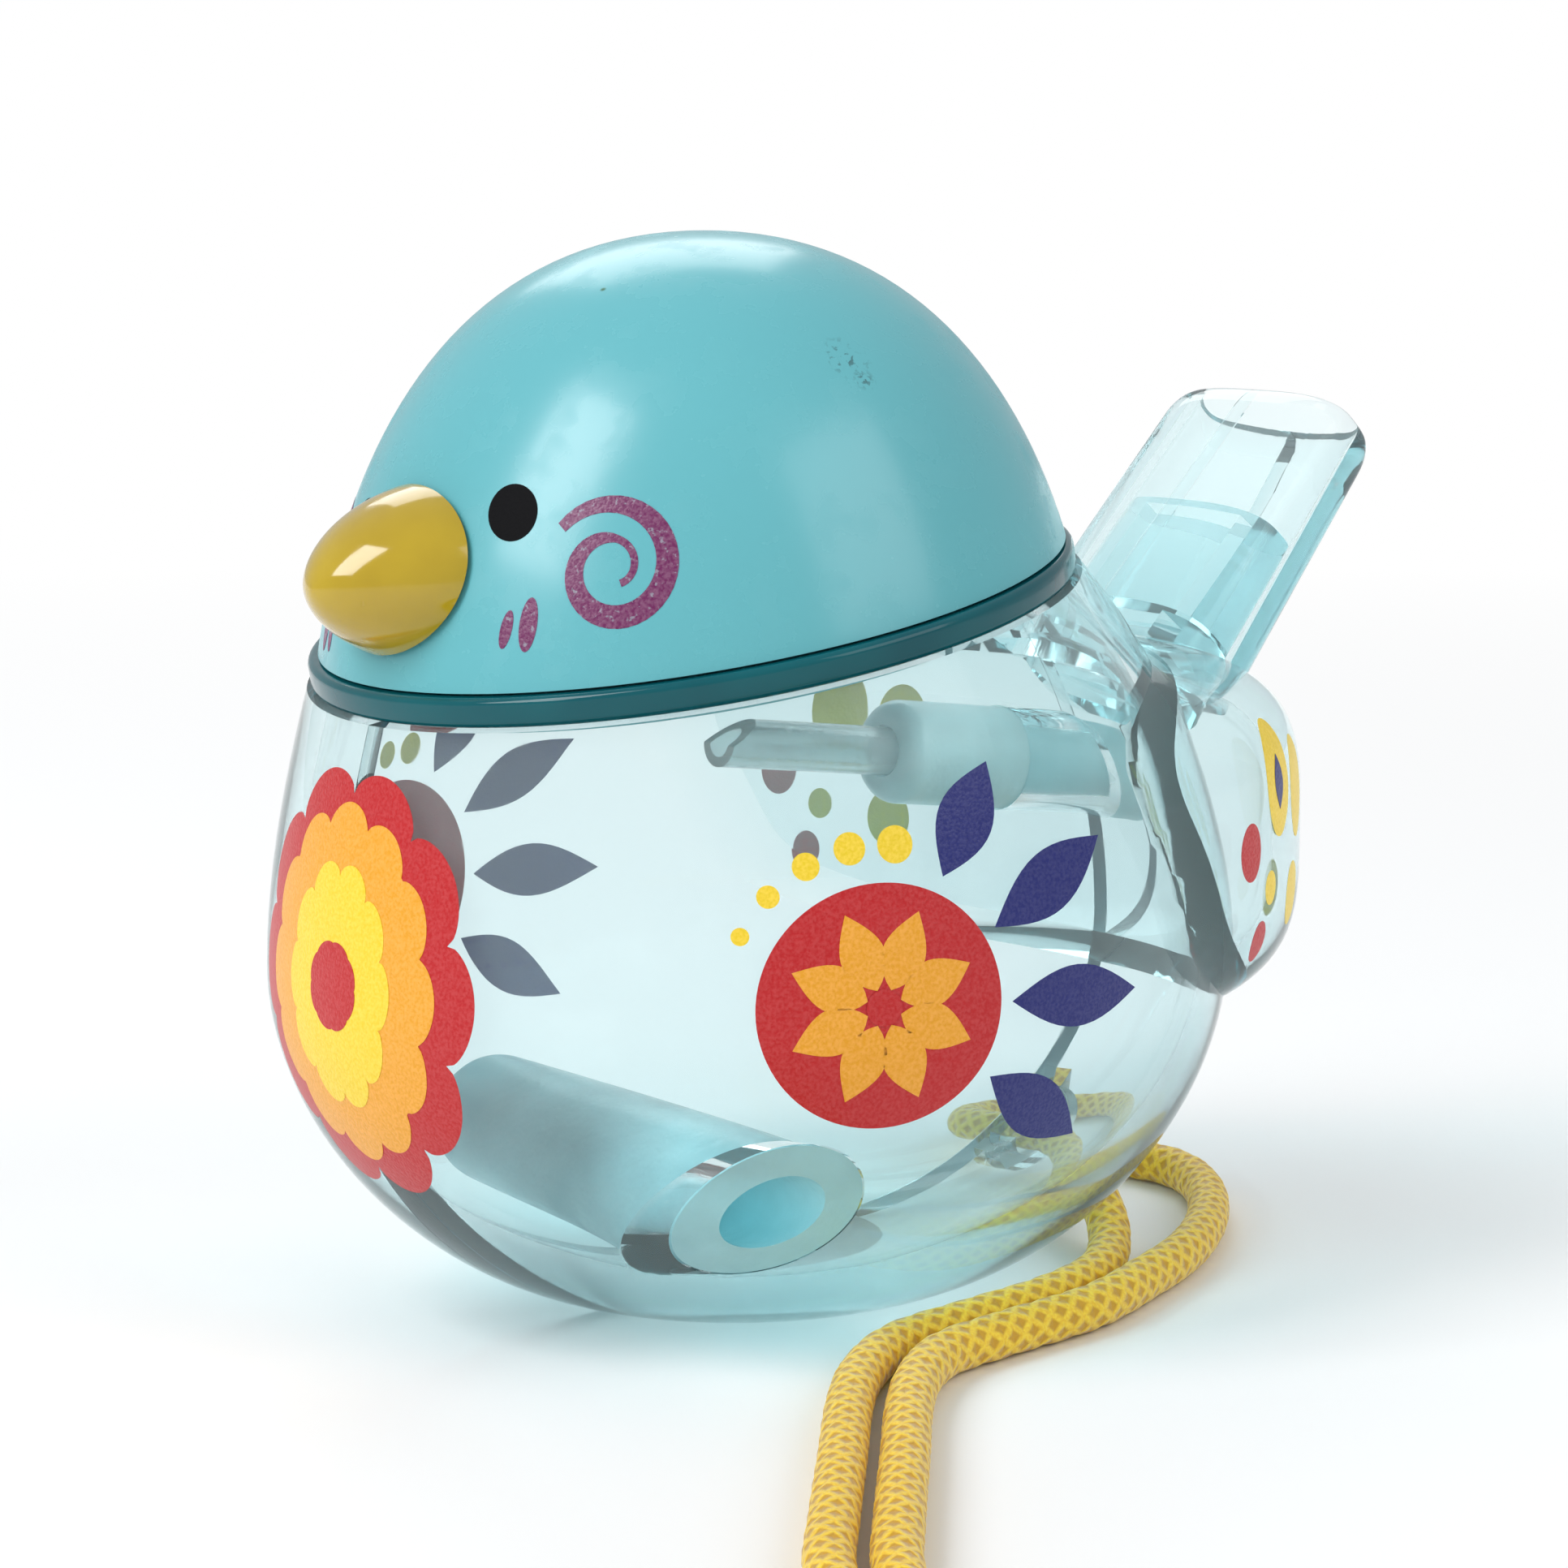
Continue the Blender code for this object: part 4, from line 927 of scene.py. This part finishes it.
def braided(name, line, material):
    """A round braid along a line: eight carriers each way, crossing over and under."""
    bm = bmesh.new()
    layer = bm.loops.layers.uv.new("braid")
    side = (line[1] - line[0]).cross(Vector((0.0, 0.0, 1.0))).normalized()
    rows, travelled = [], [0.0]
    for i, point in enumerate(line):
        along = (line[min(i + 1, len(line) - 1)] - line[max(i - 1, 0)]).normalized()
        side = (side - along * side.dot(along)).normalized()
        lift = along.cross(side)
        if i:
            travelled.append(travelled[-1] + (point - line[i - 1]).length)
        ring = []
        for k in range(BRAID_SIDES):
            angle = tau * k / BRAID_SIDES
            phase = tau * travelled[-1] / BRAID_PITCH
            one, two = cos(4 * angle + 2 * phase), cos(4 * angle - 2 * phase)
            radius = CORD_DIAMETER / 2 - BRAID_RELIEF + BRAID_RELIEF * max(one, two)
            ring.append(bm.verts.new(point + (side * cos(angle) + lift * sin(angle)) * radius))
        rows.append(ring)
    for i, (low, high) in enumerate(zip(rows, rows[1:])):
        for k in range(BRAID_SIDES):
            j = (k + 1) % BRAID_SIDES
            face = bm.faces.new((low[k], low[j], high[j], high[k]))
            corners = ((k, i), (k + 1, i), (k + 1, i + 1), (k, i + 1))
            for loop, (across, row) in zip(face.loops, corners):
                loop[layer].uv = (across / BRAID_SIDES, travelled[row] / BRAID_PITCH)
    bm.faces.new(rows[0])
    bm.faces.new(rows[-1])
    obj = from_bmesh(name, bm)
    obj.data.materials.append(material)
    obj.data.shade_smooth()
    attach(obj, "root")
    return obj, travelled[-1]


def cord_finish():
    """Yellow yarn: each carrier is a bundle of shiny filaments, with painted shade in the grooves where the
    carriers cross.
    """
    paint = Paint("cord_yarn")
    braid = paint.node("ShaderNodeUVMap", {"uv_map": "braid"}).outputs["UV"]
    parts = paint.node("ShaderNodeSeparateXYZ", Vector=braid)
    across = paint.math("MULTIPLY", parts.outputs["X"], 6 * tau)
    along = paint.math("MULTIPLY", parts.outputs["Y"], 3 * tau)
    one = paint.math("COSINE", paint.math("ADD", across, along))
    two = paint.math("COSINE", paint.math("SUBTRACT", across, along))
    height = paint.math("MAXIMUM", one, two)
    fibre = paint.noise(5200.0, 2.0)
    yarn = paint.blend(paint.span(fibre, 0.3, 0.7, 0.0, 1.0), (0.84, 0.50, 0.01), (0.97, 0.70, 0.04))
    # Painted shade: the yarn is darkened towards brown where the braid's height is low, in the grooves
    # between crossing carriers.
    colour = paint.blend(paint.span(height, -0.2, 0.7, 1.0, 0.0), yarn, (0.60, 0.31, 0.004))
    relief = paint.math("ADD", height, paint.math("MULTIPLY", fibre, 0.8))
    return paint.finish(paint.shader(Base_Color=colour, Roughness=0.55, Normal=paint.bump(relief, 0.06 * MM),
                                     Sheen_Weight=0.35, Sheen_Roughness=0.4))


cord_yarn = cord_finish()


def coil_line(route, radius, climb, end):
    """The laid route, then flat turns that step inwards and climb over themselves to the knot."""
    points = [Vector(point) * MM for point in route]
    for turned_by in range(0, COIL_END + 1, 15):
        angle = radians(COIL_START + turned_by)
        reach = radius - COIL_TURN_IN * min(turned_by, COIL_FLAT) / 360
        over_tie = max(0.0, cos(angle)) ** 8
        share = min(max((turned_by - climb[0]) / (climb[1] - climb[0]), 0.0), 1.0)
        height = (1.35 + 0.85 * over_tie + 2.6 * share ** 2 * (3 - 2 * share)) * MM
        points.append(COIL_MIDDLE + Vector((reach * cos(angle), reach * sin(angle), height)))
    points.append(KNOT_MIDDLE + Vector(end) * MM)
    return smooth_route(points, BRAID_STEP)


def knot_line(steps=260):
    """A tight overhand knot, as one closed loop."""
    line = []
    for i in range(steps + 1):
        t = tau * i / steps
        line.append(KNOT_MIDDLE + Vector(((sin(t) + 2 * sin(2 * t)) * 0.68, (cos(t) - 2 * cos(2 * t)) * 0.68,
                                          -1.8 * sin(3 * t))) * MM)
    return line


near_line = coil_line(NEAR_STRAND, 20.7 * MM, (780, 895), (-1.6, -0.5, 0.0))
far_line = coil_line(FAR_STRAND, 18.1 * MM, (935, 1075), (-1.4, 0.9, -0.6))
near_cord, near_length = braided("neck_cord_near", near_line, cord_yarn)
far_cord, far_length = braided("neck_cord_far", far_line, cord_yarn)
knot, _ = braided("end_knot", knot_line(), cord_yarn)
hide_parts("cord_strand_near", "cord_coil")
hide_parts("cord_strand_far")
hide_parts("cord_knot")

# Tie: a flat strip of soft off-white plastic wrapped once round all the turns, over the one that
# climbs, with its two ends welded together underneath.
TIE_WIDTH = 4.0 * MM
TIE_THICKNESS = 0.4 * MM
TIE_OUTLINE = [(4.9, 0.05), (4.55, 0.6), (4.55, 2.4), (5.0, 3.4), (6.0, 4.3), (7.2, 5.6), (8.3, 6.3),
               (9.5, 6.3), (10.6, 5.3), (11.6, 4.1), (13.0, 3.95), (18.4, 3.95), (19.5, 3.5), (20.15, 2.5),
               (20.15, 0.6), (19.8, 0.05)]


def tie_finish():
    paint = Paint("tie_strip")
    drift = paint.span(paint.noise(300.0, 3.0), 0.3, 0.7, 0.0, 1.0)
    colour = paint.blend(drift, (0.70, 0.69, 0.64), (0.80, 0.79, 0.75))
    rough = paint.span(paint.noise(900.0, 3.0), 0.3, 0.7, 0.35, 0.55)
    creases = paint.bump(paint.noise(600.0, 2.0), 0.05 * MM)
    return paint.finish(paint.shader(Base_Color=colour, Roughness=rough, Normal=creases))


def wrapped_strip(name, outline, width, thickness):
    """A strip that follows a closed outline of (out from the coil's middle, height) points."""
    bm = bmesh.new()
    rows = []
    for i, point in enumerate(outline):
        run = (outline[(i + 1) % len(outline)] - outline[i - 1]).normalized()
        inner = point + Vector((run.y, -run.x)) * thickness
        corners = ((point, -width / 2), (point, width / 2), (inner, width / 2), (inner, -width / 2))
        ring = [COIL_MIDDLE + Vector((place.x, across, place.y)) for place, across in corners]
        rows.append([bm.verts.new(corner) for corner in ring])
    for low, high in zip(rows, rows[1:] + rows[:1]):
        for i in range(4):
            j = (i + 1) % 4
            bm.faces.new((low[i], low[j], high[j], high[i]))
    return from_bmesh(name, bm)


tie_outline = [Vector(point) * MM for point in TIE_OUTLINE]
tie = wrapped_strip("tie_strip", tie_outline, TIE_WIDTH, TIE_THICKNESS)
smooth_piece(tie, tie_finish(), "tie", "cord_tie", angle=50.0)


# Floor and light: a plain pale surface that runs to white, a broad soft window ahead of the
# bird's left side, a weaker one behind it, and an even sky.
FLOOR_HALF = 3.0


def floor_finish():
    paint = Paint("floor_paper")
    path = paint.node("ShaderNodeLightPath").outputs
    seen = paint.math("MAXIMUM", path["Is Camera Ray"], paint.math("MAXIMUM", path["Is Glossy Ray"],
                                                                    path["Is Transmission Ray"]))
    away = paint.node("ShaderNodeVectorMath", {"operation": "LENGTH"})
    paint.set(away.inputs[0], paint.place)
    fade = paint.math("MULTIPLY", seen, paint.span(away.outputs["Value"], 0.10, 0.45, 0.0, 1.0))
    paper = paint.node("ShaderNodeBsdfDiffuse", Color=(0.90, 0.90, 0.90)).outputs["BSDF"]
    white = paint.node("ShaderNodeEmission", Color=(1.0, 1.0, 1.0), Strength=1.0).outputs["Emission"]
    mix = paint.node("ShaderNodeMixShader", Fac=fade)
    paint.set(mix.inputs[1], paper)
    paint.set(mix.inputs[2], white)
    return paint.finish(mix.outputs["Shader"])


floor = linked("floor", bpy.data.meshes.new("floor"))
bm = bmesh.new()
bmesh.ops.create_grid(bm, x_segments=1, y_segments=1, size=FLOOR_HALF)
bm.to_mesh(floor.data)
bm.free()
floor.data.materials.append(floor_finish())


def lamp(name, turn, rise, reach, width, height, power):
    """A soft rectangular lamp round the object, facing it."""
    light = bpy.data.lights.new(name, "AREA")
    light.shape = "RECTANGLE"
    light.size, light.size_y, light.energy = width, height, power
    obj = bpy.data.objects.new(name, light)
    bpy.context.scene.collection.objects.link(obj)
    turn, rise = radians(turn), radians(rise)
    out = Vector((sin(turn) * cos(rise), -cos(turn) * cos(rise), sin(rise)))
    obj.location = VIEW_AIM + out * reach
    obj.rotation_euler = out.to_track_quat("Z", "Y").to_euler()
    return obj


lamp("window", turn=-95, rise=42, reach=0.7, width=0.30, height=0.45, power=3.2)
lamp("side", turn=20, rise=35, reach=0.8, width=0.5, height=0.5, power=1.6)
lamp("back", turn=150, rise=40, reach=0.8, width=0.4, height=0.4, power=1.2)

world = bpy.data.worlds.new("sky")
bpy.context.scene.world = world
world.use_nodes = True
tree = world.node_tree
tree.nodes.clear()
output = tree.nodes.new("ShaderNodeOutputWorld")
seen_sky = tree.nodes.new("ShaderNodeBackground")
lit_sky = tree.nodes.new("ShaderNodeBackground")
seen_sky.inputs["Color"].default_value = (1.0, 1.0, 1.0, 1.0)
seen_sky.inputs["Strength"].default_value = 1.0
lit_sky.inputs["Color"].default_value = (0.95, 0.98, 1.0, 1.0)
lit_sky.inputs["Strength"].default_value = 0.55
path = tree.nodes.new("ShaderNodeLightPath")
either = tree.nodes.new("ShaderNodeMath")
either.operation = "MAXIMUM"
tree.links.new(path.outputs["Is Camera Ray"], either.inputs[0])
tree.links.new(path.outputs["Is Transmission Ray"], either.inputs[1])
mix = tree.nodes.new("ShaderNodeMixShader")
tree.links.new(either.outputs[0], mix.inputs[0])
tree.links.new(lit_sky.outputs[0], mix.inputs[1])
tree.links.new(seen_sky.outputs[0], mix.inputs[2])
tree.links.new(mix.outputs[0], output.inputs["Surface"])
bpy.context.scene.view_settings.view_transform = "Standard"
